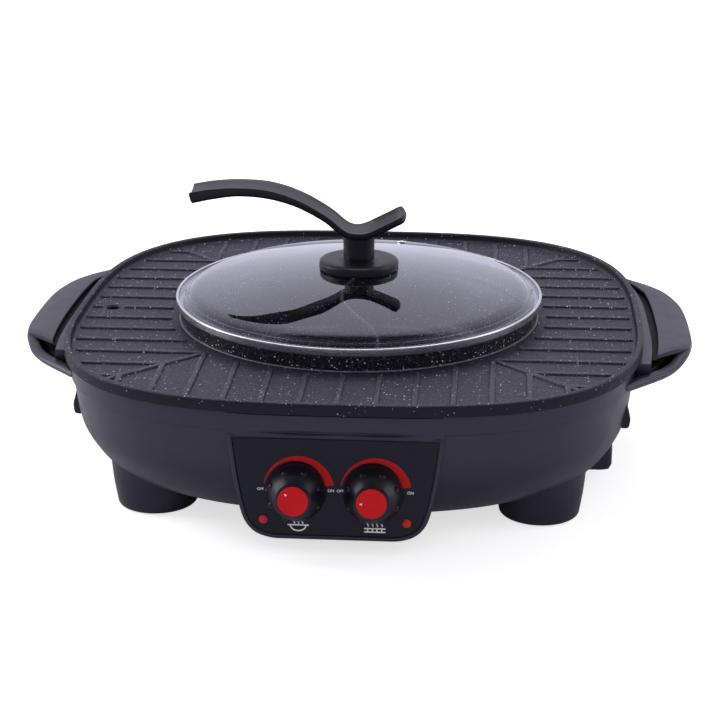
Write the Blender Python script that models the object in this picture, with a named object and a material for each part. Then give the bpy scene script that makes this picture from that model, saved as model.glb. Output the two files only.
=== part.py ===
"""Hot pot grill combo, modelled in Blender: a divided pot in a ribbed grill plate on an electric base.

Lengths are in metres, +Z is up and -Y is the front. Every piece hangs from an empty on the pot's axis.
"""

from math import ceil, cos, hypot, pi, radians, sin, tau

import bmesh
import bpy
from mathutils import Matrix, Vector

# Clearances
SEAT = 0.0003
SLIDE = 0.0010

# Hot pot: the plate, the lid, the pan and the base are all sized from its radius
POT_SHOULDER_RADIUS = 0.1465
POT_LIP_WIDTH = 0.0040
POT_NECK_DRAW = 0.0078
POT_TAPER = 0.0265
POT_WALL = 0.0030
POT_DEPTH = 0.0543
POT_COLLAR_HEIGHT = 0.0128
POT_OPENING_CLEARANCE = 0.0012
DIVIDER_BELOW_PLATE = 0.0028
DIVIDER_SWING = 0.0200
DIVIDER_THICKNESS = 0.0040

# Grill plate
PLATE_BORDER_X = 0.0444
PLATE_BORDER_Y = 0.0466
PLATE_POWER = 3.0
PLATE_RIM_HEIGHT = 0.0064
PLATE_RIM_WIDTH = 0.0050
PLATE_FLOOR_THICKNESS = 0.0040
PLATE_SKIRT_DROP = 0.0027
RIB_PITCH = 0.0278
RIB_WIDTH = 0.0050
RIB_HEIGHT = 0.0014
RIB_CORNER = 0.0450
RIB_RING_GAP = 0.0075
RIB_EDGE_CLEARANCE = 0.0030
DRAIN_INSET = 0.0249
DRAIN_RADIUS = 0.0055

# Base housing
BAND_BELOW_PLATE = 0.0034
BAND_HEIGHT = 0.0151
BELLY_BOTTOM = 0.0210
HOUSING_WALL = 0.0030
BELLY = (
    # share of the height, inset from the band, squareness
    (0.000, 0.0620, 2.25),
    (0.025, 0.0470, 2.35),
    (0.086, 0.0310, 2.50),
    (0.185, 0.0200, 2.65),
    (0.333, 0.0130, 2.80),
    (0.543, 0.0085, 2.95),
    (0.790, 0.0060, 3.00),
    (0.993, 0.0045, 3.00),
    (1.000, 0.0000, 3.00),
)
COVER_INSET = 0.1304
COVER_LAP = 0.0080
COVER_THICKNESS = 0.0025
COVER_SLOTS = 6

# Feet
FOOT_INSET_X = 0.0804
FOOT_INSET_Y = 0.1106
FOOT_RADIUS = 0.0310
FOOT_FLARE = 0.0050
FOOT_ABOVE_BELLY = 0.0257
FOOT_BOTTOM = 0.0010
FOOT_WALL = 0.0080
PAD_RADIUS = 0.0180
PAD_THICKNESS = 0.0030

# Lid
RING_OVERHANG = 0.0035
RING_HEIGHT = 0.0064
RING_WIDTH = 0.0070
RING_SHEET = 0.0008
GLASS_THICKNESS = 0.0036
DOME = (
    # share of the ring's radius, height above the ring's top
    (0.8667, 0.0072),
    (0.7667, 0.0107),
    (0.6667, 0.0132),
    (0.5000, 0.0163),
    (0.3333, 0.0182),
    (0.1667, 0.0196),
)
DOME_RISE = 0.0200
LID_HOLE_RADIUS = 0.0030
VENT_X = 0.0293
VENT_INSET = 0.0362
VENT_RADIUS = 0.0045
VENT_TUBE_RADIUS = 0.0025
GRIP_BASE_RADIUS = 0.0324
GRIP_BASE_HEIGHT = 0.0073
GRIP_NECK_RADIUS = 0.0127
GRIP_WIDTH = 0.0260
GRIP_DISH = 0.0016
GRIP_LINE = (
    # x, height above the base disc, thickness
    (0.0375, 0.0372, 0.0052),
    (0.0330, 0.0352, 0.0058),
    (0.0200, 0.0300, 0.0060),
    (0.0060, 0.0248, 0.0062),
    (-0.0060, 0.0238, 0.0062),
    (-0.0140, 0.0262, 0.0060),
    (-0.0260, 0.0345, 0.0058),
    (-0.0480, 0.0482, 0.0066),
    (-0.0720, 0.0556, 0.0078),
    (-0.0970, 0.0582, 0.0086),
    (-0.1180, 0.0556, 0.0096),
    (-0.1340, 0.0516, 0.0104),
    (-0.1380, 0.0505, 0.0090),
)

# Carrying handles
HANDLE_EDGE = (
    # distance behind the pot's axis, reach beyond the housing there
    (-0.1330, -0.0016),
    (-0.1280, 0.0020),
    (-0.1220, 0.0055),
    (-0.1130, 0.0115),
    (-0.1030, 0.0186),
    (-0.0920, 0.0260),
    (-0.0800, 0.0318),
    (-0.0650, 0.0367),
    (-0.0500, 0.0410),
    (-0.0350, 0.0436),
    (-0.0200, 0.0449),
    (0.0000, 0.0452),
    (0.0200, 0.0452),
    (0.0420, 0.0446),
    (0.0630, 0.0431),
    (0.0840, 0.0393),
    (0.0980, 0.0351),
    (0.1115, 0.0281),
    (0.1210, 0.0212),
    (0.1310, 0.0136),
    (0.1400, 0.0068),
    (0.1480, -0.0002),
    (0.1500, -0.0022),
)
HANDLE_BELOW_BAND = 0.0010
HANDLE_WALL = 0.0040
HANDLE_LIP = 0.0085
HANDLE_FLARE = 0.0060
POCKET_FLOOR = 0.0022
RAIL_HEIGHT = 0.0072
EDGE_HEIGHT = 0.0110
EDGE_CLIMB = 0.0028
HOOD_OUTER_Y = (-0.0480, 0.1310)
HOOD_INNER_Y = (-0.0780, 0.1230)
HOOD_RISE = 0.0155
HOOD_THICKNESS = 0.0035
HOOD_INSET = 0.0010
SLOT_WIDTH = (0.0035, 0.0055)
HANDLE_BAND_WIDTH = 0.0110
HANDLE_BAND_HEIGHT = 0.0145
HANDLE_BAND_Y = (-0.0980, 0.1170)
HANDLE_WEB_Y = (-0.0340, 0.0050, 0.0440, 0.0830)
WEB_DROP = 0.0015
WEB_THICKNESS = 0.0024
HANDLE_SCREW_Y = 0.0850
BRACKET_Y = 0.0980
BRACKET_WIDTH = 0.0120
BRACKET_HEIGHT = 0.0370
BRACKET_REACH = 0.0080

# Control box and panel
PANEL_TILT = radians(4.0)
PANEL_INSET = 0.0026
PANEL_DROP = 0.0440
BOX_OUTLINE = (
    # half width, height on the panel from the knob axis
    (0.0790, 0.0430),
    (0.0750, 0.0120),
    (0.0705, -0.0120),
    (0.0665, -0.0250),
    (0.0590, -0.0335),
    (0.0470, -0.0375),
)
BOX_DEPTH = 0.0500
BEZEL = 0.0035
BOX_WALL = 0.0060
PANEL_THICKNESS = 0.0014
PANEL_RECESS = 0.0004
WINDOW_HALF_WIDTH = 0.0560
WINDOW_HALF_HEIGHT = 0.0200

# Knobs and thermostats
KNOB_X = 0.0280
KNOB_RADIUS = 0.0216
KNOB_HEIGHT = 0.0215
KNOB_FLOAT = 0.0006
KNOB_WALL = 0.0030
KNOB_BUMPS = 8
CAP_RADIUS = 0.0110
CAP_THICKNESS = 0.0030
SPINDLE_RADIUS = 0.0030
BUSHING_RADIUS = 0.0050
BUSHING_LENGTH = 0.0045
NUT_ACROSS = 0.0130
NUT_THICKNESS = 0.0022
THERMOSTAT_SIZE = (0.0340, 0.0260, 0.0180)
LEFT_KNOB_TURN = radians(45.0)
LAMP_X = 0.0520
LAMP_DROP = 0.0240
LAMP_RADIUS = 0.0033
LAMP_BODY_RADIUS = 0.0026
LAMP_BODY_LENGTH = 0.0110

# Heating parts
ELEMENT_GAP = 0.0195
PAN_MARGIN = 0.0200
PAN_FLARE = 0.0040
PAN_SHEET = 0.0010
PAN_TAB_WIDTH = 0.0140
PAN_TAB_REACH = 0.0330
ELEMENT_RADIUS = 0.0038
ELEMENT_LEAD_X = 0.0120
ELEMENT_LEAD_REACH = 0.0110
COIL_ROOM = 0.0188
COIL_INSET = 0.0360
COIL_INNER = 0.0300
COIL_TURNS = 3.0
STAND_LAP = 0.0060
STAND_BLADE = 0.0030
FUSE_RADIUS = 0.0045
FUSE_LENGTH = 0.0220
FUSE_INSET = 0.0360

# Drain and drip box
DRAIN_TUBE_WALL = 0.0012
DRAIN_TUBE_RADIUS = 0.0062
DRAIN_TO_DRIP = 0.0330
DRIP_INSET = 0.0524
DRIP_LENGTH = 0.0700
DRIP_HALF_WIDTH = 0.0300
DRIP_DEPTH = 0.0150
DRIP_WALL = 0.0015
DRIP_FLANGE = 0.0030
RAIL_LIP = 0.0012

# Inlet
INLET_INSET = 0.0224
INLET_LENGTH = 0.0380
INLET_Y = (-0.0780, -0.0300)
INLET_DROP = 0.0050
INLET_HEIGHT = 0.0300
SOCKET_INSET = 0.0040
SOCKET_LENGTH = 0.0180
SOCKET_HEIGHT = 0.0075
SOCKET_DEPTH = 0.0150
SOCKET_ABOVE = 0.0016
PIN_PITCH = 0.0045
PIN_RADIUS = 0.0010
PIN_LENGTH = 0.0075

# Screws and leads
SCREW_RADIUS = 0.0015
SCREW_HEAD_RADIUS = 0.0032
SCREW_HEAD_HEIGHT = 0.0016
LEAD_RADIUS = 0.0015
LEAD_ABOVE_BELLY = 0.0135
BLOCK_SIZE = (0.0300, 0.0160, 0.0140)
BLOCK_INSET = 0.0260
BLOCK_Y = -0.0350

# Facet counts
BODY_SIDES = 48
POT_SIDES = 44
PAN_SIDES = 32
KNOB_SIDES = 24
SMALL_SIDES = 16
SCREW_SIDES = 6
TUBE_SIDES = 6
HOOD_STEPS = 12

# Widths worked out from the pot outwards
POT_BORE = POT_SHOULDER_RADIUS - POT_LIP_WIDTH
POT_NECK_RADIUS = POT_SHOULDER_RADIUS - POT_NECK_DRAW
POT_BOTTOM_RADIUS = POT_SHOULDER_RADIUS - POT_TAPER
PLATE_OPENING_RADIUS = POT_NECK_RADIUS + POT_OPENING_CLEARANCE
RIB_RING_RADIUS = POT_SHOULDER_RADIUS + RIB_RING_GAP
RING_RADIUS = POT_SHOULDER_RADIUS + RING_OVERHANG
RING_INNER_RADIUS = RING_RADIUS - RING_WIDTH
VENT_Y = RING_RADIUS - VENT_INSET
COIL_OUTER = POT_BOTTOM_RADIUS - COIL_INSET
STAND_REACH = COIL_OUTER + STAND_LAP
GRILL_ELEMENT_HALF = POT_SHOULDER_RADIUS + ELEMENT_GAP
PAN_HALF = GRILL_ELEMENT_HALF + PAN_MARGIN
PLATE_HALF_X = PAN_HALF + PLATE_BORDER_X
PLATE_HALF_Y = PAN_HALF + PLATE_BORDER_Y
RIB_COUNT_SIDE = int((PLATE_HALF_X - RIB_CORNER) / RIB_PITCH)
BODY_HALF_X = PLATE_HALF_X - BAND_BELOW_PLATE
BODY_HALF_Y = PLATE_HALF_Y - BAND_BELOW_PLATE
FOOT_X = PLATE_HALF_X - FOOT_INSET_X
FOOT_Y = PLATE_HALF_Y - FOOT_INSET_Y
FOOT_TOP_RADIUS = FOOT_RADIUS + FOOT_FLARE
COVER_RADIUS = PLATE_HALF_X - COVER_INSET
ACCESS_RADIUS = COVER_RADIUS - COVER_LAP
DRAIN_X = DRAIN_INSET - PLATE_HALF_X
DRIP_X = (DRIP_INSET - PLATE_HALF_X, DRIP_INSET + DRIP_LENGTH - PLATE_HALF_X)
DRAIN_END_X = DRIP_X[0] + DRAIN_TO_DRIP
INLET_X = (PLATE_HALF_X - INLET_INSET - INLET_LENGTH, PLATE_HALF_X - INLET_INSET)
SOCKET_X = (INLET_X[1] - SOCKET_INSET - SOCKET_LENGTH, INLET_X[1] - SOCKET_INSET)
BLOCK_PLACE = (FOOT_X - BLOCK_INSET, BLOCK_Y)
PANEL_Y = PANEL_INSET - PLATE_HALF_Y
KNOB_REACH = KNOB_FLOAT + KNOB_HEIGHT + CAP_THICKNESS - SEAT
FRONT_REACH = -PANEL_Y + KNOB_REACH * cos(PANEL_TILT) + CAP_RADIUS * sin(PANEL_TILT)
AXIS_Y = (FRONT_REACH - PLATE_HALF_Y) / 2

# Heights worked out from the housing's floor upwards
BELLY_FLOOR = BELLY_BOTTOM + HOUSING_WALL
COVER_TOP = BELLY_BOTTOM - SEAT
DRIP_TOP = BELLY_BOTTOM - SLIDE
INLET_Z = (BELLY_BOTTOM - INLET_DROP, BELLY_BOTTOM - INLET_DROP + INLET_HEIGHT)
SOCKET_BOTTOM = INLET_Z[0] + SOCKET_ABOVE
LEAD_Z = BELLY_BOTTOM + LEAD_ABOVE_BELLY
FOOT_TOP = BELLY_BOTTOM + FOOT_ABOVE_BELLY
PAN_BOTTOM = FOOT_TOP + SEAT
PAN_FLOOR = PAN_BOTTOM + PAN_SHEET
POT_BOTTOM = FOOT_TOP + COIL_ROOM
COIL_Z = POT_BOTTOM - SEAT - ELEMENT_RADIUS
STAND_TOP = COIL_Z - ELEMENT_RADIUS - SEAT
PLATE_FLOOR_TOP = POT_BOTTOM + POT_DEPTH
PLATE_UNDERSIDE = PLATE_FLOOR_TOP - PLATE_FLOOR_THICKNESS
PLATE_RIM_TOP = PLATE_FLOOR_TOP + PLATE_RIM_HEIGHT
PLATE_SKIRT_BOTTOM = PLATE_FLOOR_TOP - PLATE_SKIRT_DROP
BODY_TOP = PLATE_SKIRT_BOTTOM - SEAT
BAND_BOTTOM = PLATE_SKIRT_BOTTOM - BAND_HEIGHT
GRILL_ELEMENT_Z = PLATE_UNDERSIDE - SEAT - ELEMENT_RADIUS
PAN_TOP = GRILL_ELEMENT_Z - ELEMENT_RADIUS - SEAT
HANDLE_BOTTOM = BAND_BOTTOM - HANDLE_BELOW_BAND
RAIL_TOP = HANDLE_BOTTOM + RAIL_HEIGHT
HANDLE_EDGE_TOP = HANDLE_BOTTOM + EDGE_HEIGHT
HOOD_TOP = HANDLE_BOTTOM + HOOD_RISE
HANDLE_BAND_TOP = HANDLE_BOTTOM + HANDLE_BAND_HEIGHT
BRACKET_BOTTOM = HANDLE_BOTTOM - BRACKET_HEIGHT
PANEL_Z = BAND_BOTTOM - PANEL_DROP
DIVIDER_TOP = PLATE_FLOOR_TOP - DIVIDER_BELOW_PLATE
POT_RIM_TOP = PLATE_FLOOR_TOP + POT_COLLAR_HEIGHT
RING_BOTTOM = POT_RIM_TOP + SEAT
RING_TOP = RING_BOTTOM + RING_HEIGHT
DOME_TOP = RING_TOP + DOME_RISE
GRIP_BASE_BOTTOM = DOME_TOP + SEAT
GRIP_BASE_TOP = GRIP_BASE_BOTTOM + GRIP_BASE_HEIGHT
SCREW_HOLE_RADIUS = SCREW_RADIUS + SEAT

COLOURS = {
    # base colour, roughness, metallic
    "body_plastic": ((0.010, 0.011, 0.018), 0.28, 0.0),
    "grip_plastic": ((0.012, 0.012, 0.016), 0.30, 0.0),
    "stone_coating": ((0.045, 0.043, 0.055), 0.50, 0.0),
    "pot_coating": ((0.030, 0.029, 0.036), 0.45, 0.0),
    "lid_glass": ((0.70, 0.68, 0.78), 0.05, 0.0),
    "bright_steel": ((0.62, 0.62, 0.64), 0.22, 1.0),
    "sheet_metal": ((0.55, 0.56, 0.57), 0.35, 1.0),
    "heater_sheath": ((0.16, 0.15, 0.15), 0.45, 1.0),
    "panel_face": ((0.014, 0.014, 0.022), 0.22, 0.0),
    "knob_red": ((0.36, 0.012, 0.016), 0.25, 0.0),
    "lamp_red": ((0.40, 0.020, 0.020), 0.15, 0.0),
    "brass": ((0.60, 0.43, 0.16), 0.30, 1.0),
    "rubber": ((0.020, 0.020, 0.020), 0.80, 0.0),
    "insulator": ((0.10, 0.10, 0.11), 0.55, 0.0),
    "lead_sheath": ((0.55, 0.54, 0.50), 0.60, 0.0),
}


def clear_scene():
    """Remove whatever the open file holds."""
    for obj in list(bpy.data.objects):
        bpy.data.objects.remove(obj, do_unlink=True)


def material(name):
    """Return the named finish, made on first use."""
    found = bpy.data.materials.get(name)
    if found:
        return found
    colour, roughness, metallic = COLOURS[name]
    made = bpy.data.materials.new(name)
    made.use_nodes = True
    shader = made.node_tree.nodes["Principled BSDF"]
    shader.inputs["Base Color"].default_value = (*colour, 1.0)
    shader.inputs["Roughness"].default_value = roughness
    shader.inputs["Metallic"].default_value = metallic
    if name == "lid_glass":
        shader.inputs["Transmission Weight"].default_value = 0.9
    return made


# Mesh helpers


def squircle(half_x, half_y, power, z, sides=BODY_SIDES):
    """Return the points of a rounded square, evenly spaced in angle."""
    points = []
    for i in range(sides):
        angle = tau * i / sides
        x, y = cos(angle), sin(angle)
        reach = (abs(x / half_x) ** power + abs(y / half_y) ** power) ** (-1 / power)
        points.append(Vector((reach * x, reach * y, z)))
    return points


def squircle_x(half_x, half_y, power, y):
    """Return how far a rounded square reaches along X at the given Y."""
    return half_x * max(0.0, 1 - abs(y / half_y) ** power) ** (1 / power)


def circle(radius, z, sides, centre=(0.0, 0.0)):
    """Return the points of a level circle."""
    x, y = centre
    turn = [tau * i / sides for i in range(sides)]
    return [Vector((x + radius * cos(a), y + radius * sin(a), z)) for a in turn]


def loft(rings, closed=False):
    """Join rings of equally many points into one closed body, with its ends capped unless it closes on itself."""
    bm = bmesh.new()
    loops = [[bm.verts.new(point) for point in ring] for ring in rings]
    pairs = list(zip(loops, loops[1:]))
    if closed:
        pairs.append((loops[-1], loops[0]))
    else:
        bm.faces.new(loops[0])
        bm.faces.new(loops[-1])
    for low, high in pairs:
        for i in range(len(low)):
            j = (i + 1) % len(low)
            bm.faces.new((low[i], low[j], high[j], high[i]))
    bent = [face for face in bm.faces if len(face.verts) == 4 and not is_flat(face)]
    bmesh.ops.triangulate(bm, faces=bent)
    bmesh.ops.recalc_face_normals(bm, faces=bm.faces)
    return bm


def is_flat(face):
    """Tell whether the four corners of a face lie in one plane."""
    a, b, c, d = (vert.co for vert in face.verts)
    square = (b - a).cross(c - a)
    return square.length > 0 and abs((d - a).dot(square.normalized())) < 1e-8


def revolve(profile, sides, closed=False, centre=(0.0, 0.0)):
    """Turn a profile of radius and height about a vertical axis."""
    return loft([circle(r, z, sides, centre) for r, z in profile], closed)


def disc(radius, low, high, sides, centre=(0.0, 0.0)):
    """Return a plain upright cylinder."""
    return revolve(((radius, low), (radius, high)), sides, centre=centre)


def prism(outline, low, high):
    """Raise a plan outline from one height to another."""
    return loft([[Vector((x, y, z)) for x, y in outline] for z in (low, high)])


def block(low, high):
    """Return a box between two corners."""
    (x0, y0, z0), (x1, y1, z1) = low, high
    return prism(((x0, y0), (x1, y0), (x1, y1), (x0, y1)), z0, z1)


def rounded_rectangle(low, high, radius, corner_points=4):
    """Return a plan outline with round corners."""
    (x0, y0), (x1, y1) = low, high
    centres = ((x1 - radius, y1 - radius), (x0 + radius, y1 - radius))
    centres += ((x0 + radius, y0 + radius), (x1 - radius, y0 + radius))
    outline = []
    for corner, (x, y) in enumerate(centres):
        for i in range(corner_points):
            angle = (corner + i / (corner_points - 1)) * pi / 2
            outline.append((x + radius * cos(angle), y + radius * sin(angle)))
    return outline


def smooth(points, steps):
    """Return a curve through the points, with this many steps between each two."""
    points = [Vector(p) for p in points]
    padded = [2 * points[0] - points[1], *points, 2 * points[-1] - points[-2]]
    curve = []
    for a, b, c, d in zip(padded, padded[1:], padded[2:], padded[3:]):
        for i in range(steps):
            t = i / steps
            bend = (2 * a - 5 * b + 4 * c - d) * t * t + (3 * b - a - 3 * c + d) * t**3
            curve.append(0.5 * (2 * b + (c - a) * t + bend))
    return [*curve, points[-1]]


def tube_rings(points, radius, sides):
    """Return rings square to a path, turned as little as can be from one to the next."""
    across = None
    rings = []
    for i, point in enumerate(points):
        ahead = points[min(i + 1, len(points) - 1)] - points[max(i - 1, 0)]
        ahead.normalize()
        if across is None:
            across = ahead.orthogonal().normalized()
        across = (across - ahead * across.dot(ahead)).normalized()
        up = ahead.cross(across)
        turn = [tau * k / sides for k in range(sides)]
        rings.append([point + radius * (cos(a) * across + sin(a) * up) for a in turn])
    return rings


def tube(points, radius, sides=TUBE_SIDES, bore=None):
    """Return a round bar along a path, or a pipe where a bore is given."""
    outer = tube_rings(points, radius, sides)
    if bore is None:
        return loft(outer)
    return loft(outer + tube_rings(points, bore, sides)[::-1], closed=True)


def turned(bm, matrix):
    """Return the mesh moved by a matrix."""
    bmesh.ops.transform(bm, matrix=matrix, verts=bm.verts)
    bmesh.ops.recalc_face_normals(bm, faces=bm.faces)
    return bm


def joined(parts):
    """Return several meshes as one, without merging them."""
    whole = bmesh.new()
    for part in parts:
        mesh = bpy.data.meshes.new("part")
        part.to_mesh(mesh)
        whole.from_mesh(mesh)
        bpy.data.meshes.remove(mesh)
        part.free()
    return whole


# Object helpers


class Cooker:
    """Holds the empties that the pieces hang from."""

    axis = None
    panel = None


def add_empty(name, location, rotation=(0, 0, 0), parent=None):
    """Add an empty that pieces are placed from."""
    empty = bpy.data.objects.new(name, None)
    bpy.context.scene.collection.objects.link(empty)
    empty.parent = parent
    empty.location = location
    empty.rotation_euler = rotation
    return empty


def add(name, bm, finish, parent=None, location=(0, 0, 0), rotation=(0, 0, 0)):
    """Add one piece from its mesh and free the mesh."""
    mesh = bpy.data.meshes.new(name)
    bm.to_mesh(mesh)
    bm.free()
    obj = bpy.data.objects.new(name, mesh)
    bpy.context.scene.collection.objects.link(obj)
    obj.parent = parent or Cooker.axis
    obj.location = location
    obj.rotation_euler = rotation
    if finish:
        mesh.materials.append(material(finish))
    return obj


def apply_boolean(obj, tool, operation, crossing=False):
    """Cut or join the tool mesh into the object, and drop the tool."""
    helper = add("tool", tool, None, parent=obj.parent)
    helper.location = obj.location
    helper.rotation_euler = obj.rotation_euler
    combine(obj, helper, operation, crossing)


def combine(obj, helper, operation, crossing=False):
    """Cut or join one object into another, and drop the second."""
    bpy.context.view_layer.update()
    step = obj.modifiers.new("step", "BOOLEAN")
    step.operation = operation
    step.solver = "EXACT"
    step.use_self = crossing
    step.object = helper
    graph = bpy.context.evaluated_depsgraph_get()
    mesh = bpy.data.meshes.new_from_object(obj.evaluated_get(graph), depsgraph=graph)
    obj.modifiers.remove(step)
    old = obj.data
    finish = list(old.materials)
    obj.data = mesh
    bpy.data.meshes.remove(old)
    mesh.materials.clear()
    for item in finish:
        mesh.materials.append(item)
    bpy.data.meshes.remove(helper.data)


def cut(obj, tool):
    """Take the tool away from the object."""
    apply_boolean(obj, tool, "DIFFERENCE")


def fuse(obj, tool, crossing=False):
    """Join the tool to the object."""
    apply_boolean(obj, tool, "UNION", crossing)


def cut_in_axis_frame(obj, tool):
    """Take away a tool that is modelled about the pot's axis from a piece on the panel."""
    combine(obj, add("tool", tool, None), "DIFFERENCE")


# Forms that several pieces share


def housing_sections(grow):
    """Return half width, half depth, squareness and height of the housing, grown outwards by an amount."""
    sections = []
    for share, inset, power in BELLY:
        z = BELLY_BOTTOM + share * (BAND_BOTTOM - BELLY_BOTTOM)
        sections.append((BODY_HALF_X - inset + grow, BODY_HALF_Y - inset + grow, power, z))
    sections.append((BODY_HALF_X + grow, BODY_HALF_Y + grow, BELLY[-1][2], BODY_TOP))
    return sections


def housing_form():
    """Return the housing's outside, grown by the seat clearance, to cut what stands against it."""
    sections = housing_sections(SEAT)
    rings = [squircle(hx, hy, power, z - SEAT) for hx, hy, power, z in sections[:-1]]
    hx, hy, power, z = sections[-1]
    rings.append(squircle(hx, hy, power, z + SEAT))
    return loft(rings)


def screw_profile(length):
    """Return the outline of a screw whose head stands on height zero and whose shank points down."""
    return (
        (SCREW_RADIUS, -length),
        (SCREW_RADIUS, 0.0),
        (SCREW_HEAD_RADIUS, 0.0),
        (SCREW_HEAD_RADIUS * 0.7, SCREW_HEAD_HEIGHT),
    )


def screw_hole(length, spare=0.0008):
    """Return the hole that the screw's shank runs in, a little deeper than the shank."""
    return disc(SCREW_HOLE_RADIUS, -length - spare, 0.004, SCREW_SIDES)


def add_screw(name, length, place):
    """Add a screw, placed by a matrix about the pot's axis."""
    obj = add(name, revolve(screw_profile(length), SCREW_SIDES), "bright_steel")
    obj.location = place.to_translation()
    obj.rotation_euler = place.to_euler()
    return obj


def upright(x, y, z):
    """Return the place of a screw that is driven downwards."""
    return Matrix.Translation((x, y, z))


def upturned(x, y, z):
    """Return the place of a screw that is driven upwards."""
    return Matrix.Translation((x, y, z)) @ Matrix.Rotation(pi, 4, "X")


def sideways(x, y, z, side):
    """Return the place of a screw that is driven outwards to one side."""
    return Matrix.Translation((x, y, z)) @ Matrix.Rotation(-side * pi / 2, 4, "Y")


def corners():
    """Yield the name and the centre of each foot."""
    for row, y in (("front", -FOOT_Y), ("rear", FOOT_Y)):
        for hand, x in (("left", -FOOT_X), ("right", FOOT_X)):
            yield f"{row}_{hand}", x, y


# Base


def foot_profile():
    """Return the outside of a foot, from its round bottom edge into the housing."""
    return (
        (FOOT_RADIUS - 0.0050, FOOT_BOTTOM),
        (FOOT_RADIUS - 0.0016, FOOT_BOTTOM + 0.0016),
        (FOOT_RADIUS, FOOT_BOTTOM + 0.0052),
        (0.4 * FOOT_RADIUS + 0.6 * FOOT_TOP_RADIUS, FOOT_BOTTOM + 0.0200),
        (FOOT_TOP_RADIUS, FOOT_TOP),
    )


def cover_screw_places():
    """Return where the three screws of the bottom cover stand."""
    ring = (ACCESS_RADIUS + COVER_RADIUS) / 2
    turn = [pi / 2 + tau * i / 3 for i in range(3)]
    return [(ring * cos(a), ring * sin(a)) for a in turn]


def pan_screw_places():
    """Return where the pan is screwed to the tops of two opposite feet."""
    inward = (FOOT_TOP_RADIUS - FOOT_WALL / 2) / hypot(FOOT_X, FOOT_Y)
    share = 1 - inward
    return [(s * FOOT_X * share, s * FOOT_Y * share) for s in (-1, 1)]


def handle_screw_places():
    """Yield name, side and place of the screws that hold the handles, driven from inside the housing."""
    z = (HANDLE_BOTTOM + HANDLE_BAND_TOP) / 2
    for hand, side in (("left", -1), ("right", 1)):
        for row, y in (("front", -HANDLE_SCREW_Y), ("rear", HANDLE_SCREW_Y)):
            wall = squircle_x(BODY_HALF_X - HOUSING_WALL, BODY_HALF_Y - HOUSING_WALL, BELLY[-1][2], abs(y) + 0.004)
            yield f"handle_screw_{hand}_{row}", side, (side * (wall - SEAT), y, z)


def add_housing():
    """Add the moulded base with its feet, window, bosses and drip box rails."""
    outer = housing_sections(0.0)
    inner = housing_sections(-HOUSING_WALL)
    rings = [squircle(*section) for section in outer]
    hx, hy, power, z = inner[-2]
    inner[-2] = (hx, hy, power, z + HOUSING_WALL)
    rings += [squircle(*section) for section in (*inner[:-3:-1], *inner[-3:1:-2], inner[2])]
    hx, hy, power, _ = inner[1]
    rings.append(squircle(hx, hy, power, BELLY_FLOOR + 0.0010))
    rings.append(squircle(hx - 0.008, hy - 0.008, power, BELLY_FLOOR))
    obj = add("base_housing", loft(rings), "body_plastic")
    for _, x, y in corners():
        fuse(obj, revolve(foot_profile(), KNOB_SIDES, centre=(x, y)))
    well = PAD_THICKNESS + HOUSING_WALL + FOOT_BOTTOM
    for _, x, y in corners():
        cut(obj, disc(FOOT_TOP_RADIUS - FOOT_WALL, well, FOOT_TOP + 0.02, SMALL_SIDES, (x, y)))
        cut(obj, disc(PAD_RADIUS + SEAT, -PAD_THICKNESS, PAD_THICKNESS + SEAT, SMALL_SIDES, (x, y)))
    cut(obj, disc(ACCESS_RADIUS, 0.0, BELLY_FLOOR + 0.01, POT_SIDES))
    for x, y in cover_screw_places():
        cut(obj, disc(SCREW_HOLE_RADIUS, 0.0, BELLY_FLOOR + 0.01, SCREW_SIDES, (x, y)))
    for x, y in pan_screw_places():
        cut(obj, disc(SCREW_HOLE_RADIUS, FOOT_TOP - 0.009, FOOT_TOP + 0.01, SCREW_SIDES, (x, y)))
    half, tall = WINDOW_HALF_WIDTH, WINDOW_HALF_HEIGHT
    cut(obj, block((-half, PANEL_Y - 0.03, PANEL_Z - tall), (half, PANEL_Y + 0.04, PANEL_Z + tall)))
    for _, side, place in handle_screw_places():
        cut(obj, turned(screw_hole(0.012), sideways(*place, side)))
    cut(obj, disc(DRAIN_TUBE_RADIUS + SEAT, 0.0, BELLY_FLOOR + 0.006, SMALL_SIDES // 2, (DRAIN_END_X, 0.0)))
    fuse(obj, inlet_lead_boss())
    cut(obj, turned(disc(LEAD_RADIUS + 2 * SEAT, -0.03, 0.03, 12), inlet_lead_place()))
    add_rails(obj)
    return obj


def inlet_lead_place():
    """Return where the supply lead passes through the housing wall, pointing along X."""
    y = (INLET_Y[0] + INLET_Y[1]) / 2
    return Matrix.Translation((SOCKET_X[0] + 0.004, y, LEAD_Z)) @ Matrix.Rotation(pi / 2, 4, "Y")


def inlet_lead_boss():
    """Return the thickening of the wall round the supply lead."""
    place = inlet_lead_place()
    return turned(disc(0.005, -0.008, 0.004, 12), place)


def add_rails(housing):
    """Fuse the two rails that carry the drip box to the housing."""
    lip_top = DRIP_TOP - DRIP_WALL - SEAT
    lip_bottom = lip_top - RAIL_LIP
    inner = DRIP_HALF_WIDTH + SLIDE / 2
    web = DRIP_HALF_WIDTH + DRIP_FLANGE + SLIDE
    outside = web + 0.0020
    high = BELLY_BOTTOM + 0.001
    section = ((inner, lip_bottom), (outside, lip_bottom), (outside, high), (web, high), (web, lip_top), (inner, lip_top))
    for side in (-1, 1):
        ends = (DRIP_X[0] + 0.020, DRIP_X[1])
        fuse(housing, loft([[Vector((x, side * y, z)) for y, z in section] for x in ends]))


def add_feet():
    """Add the rubber pads that the cooker stands on."""
    for name, x, y in corners():
        profile = ((PAD_RADIUS - 0.001, 0.0), (PAD_RADIUS, PAD_THICKNESS))
        add(f"foot_pad_{name}", revolve(profile, SMALL_SIDES), "rubber", location=(x, y, 0.0))


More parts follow.
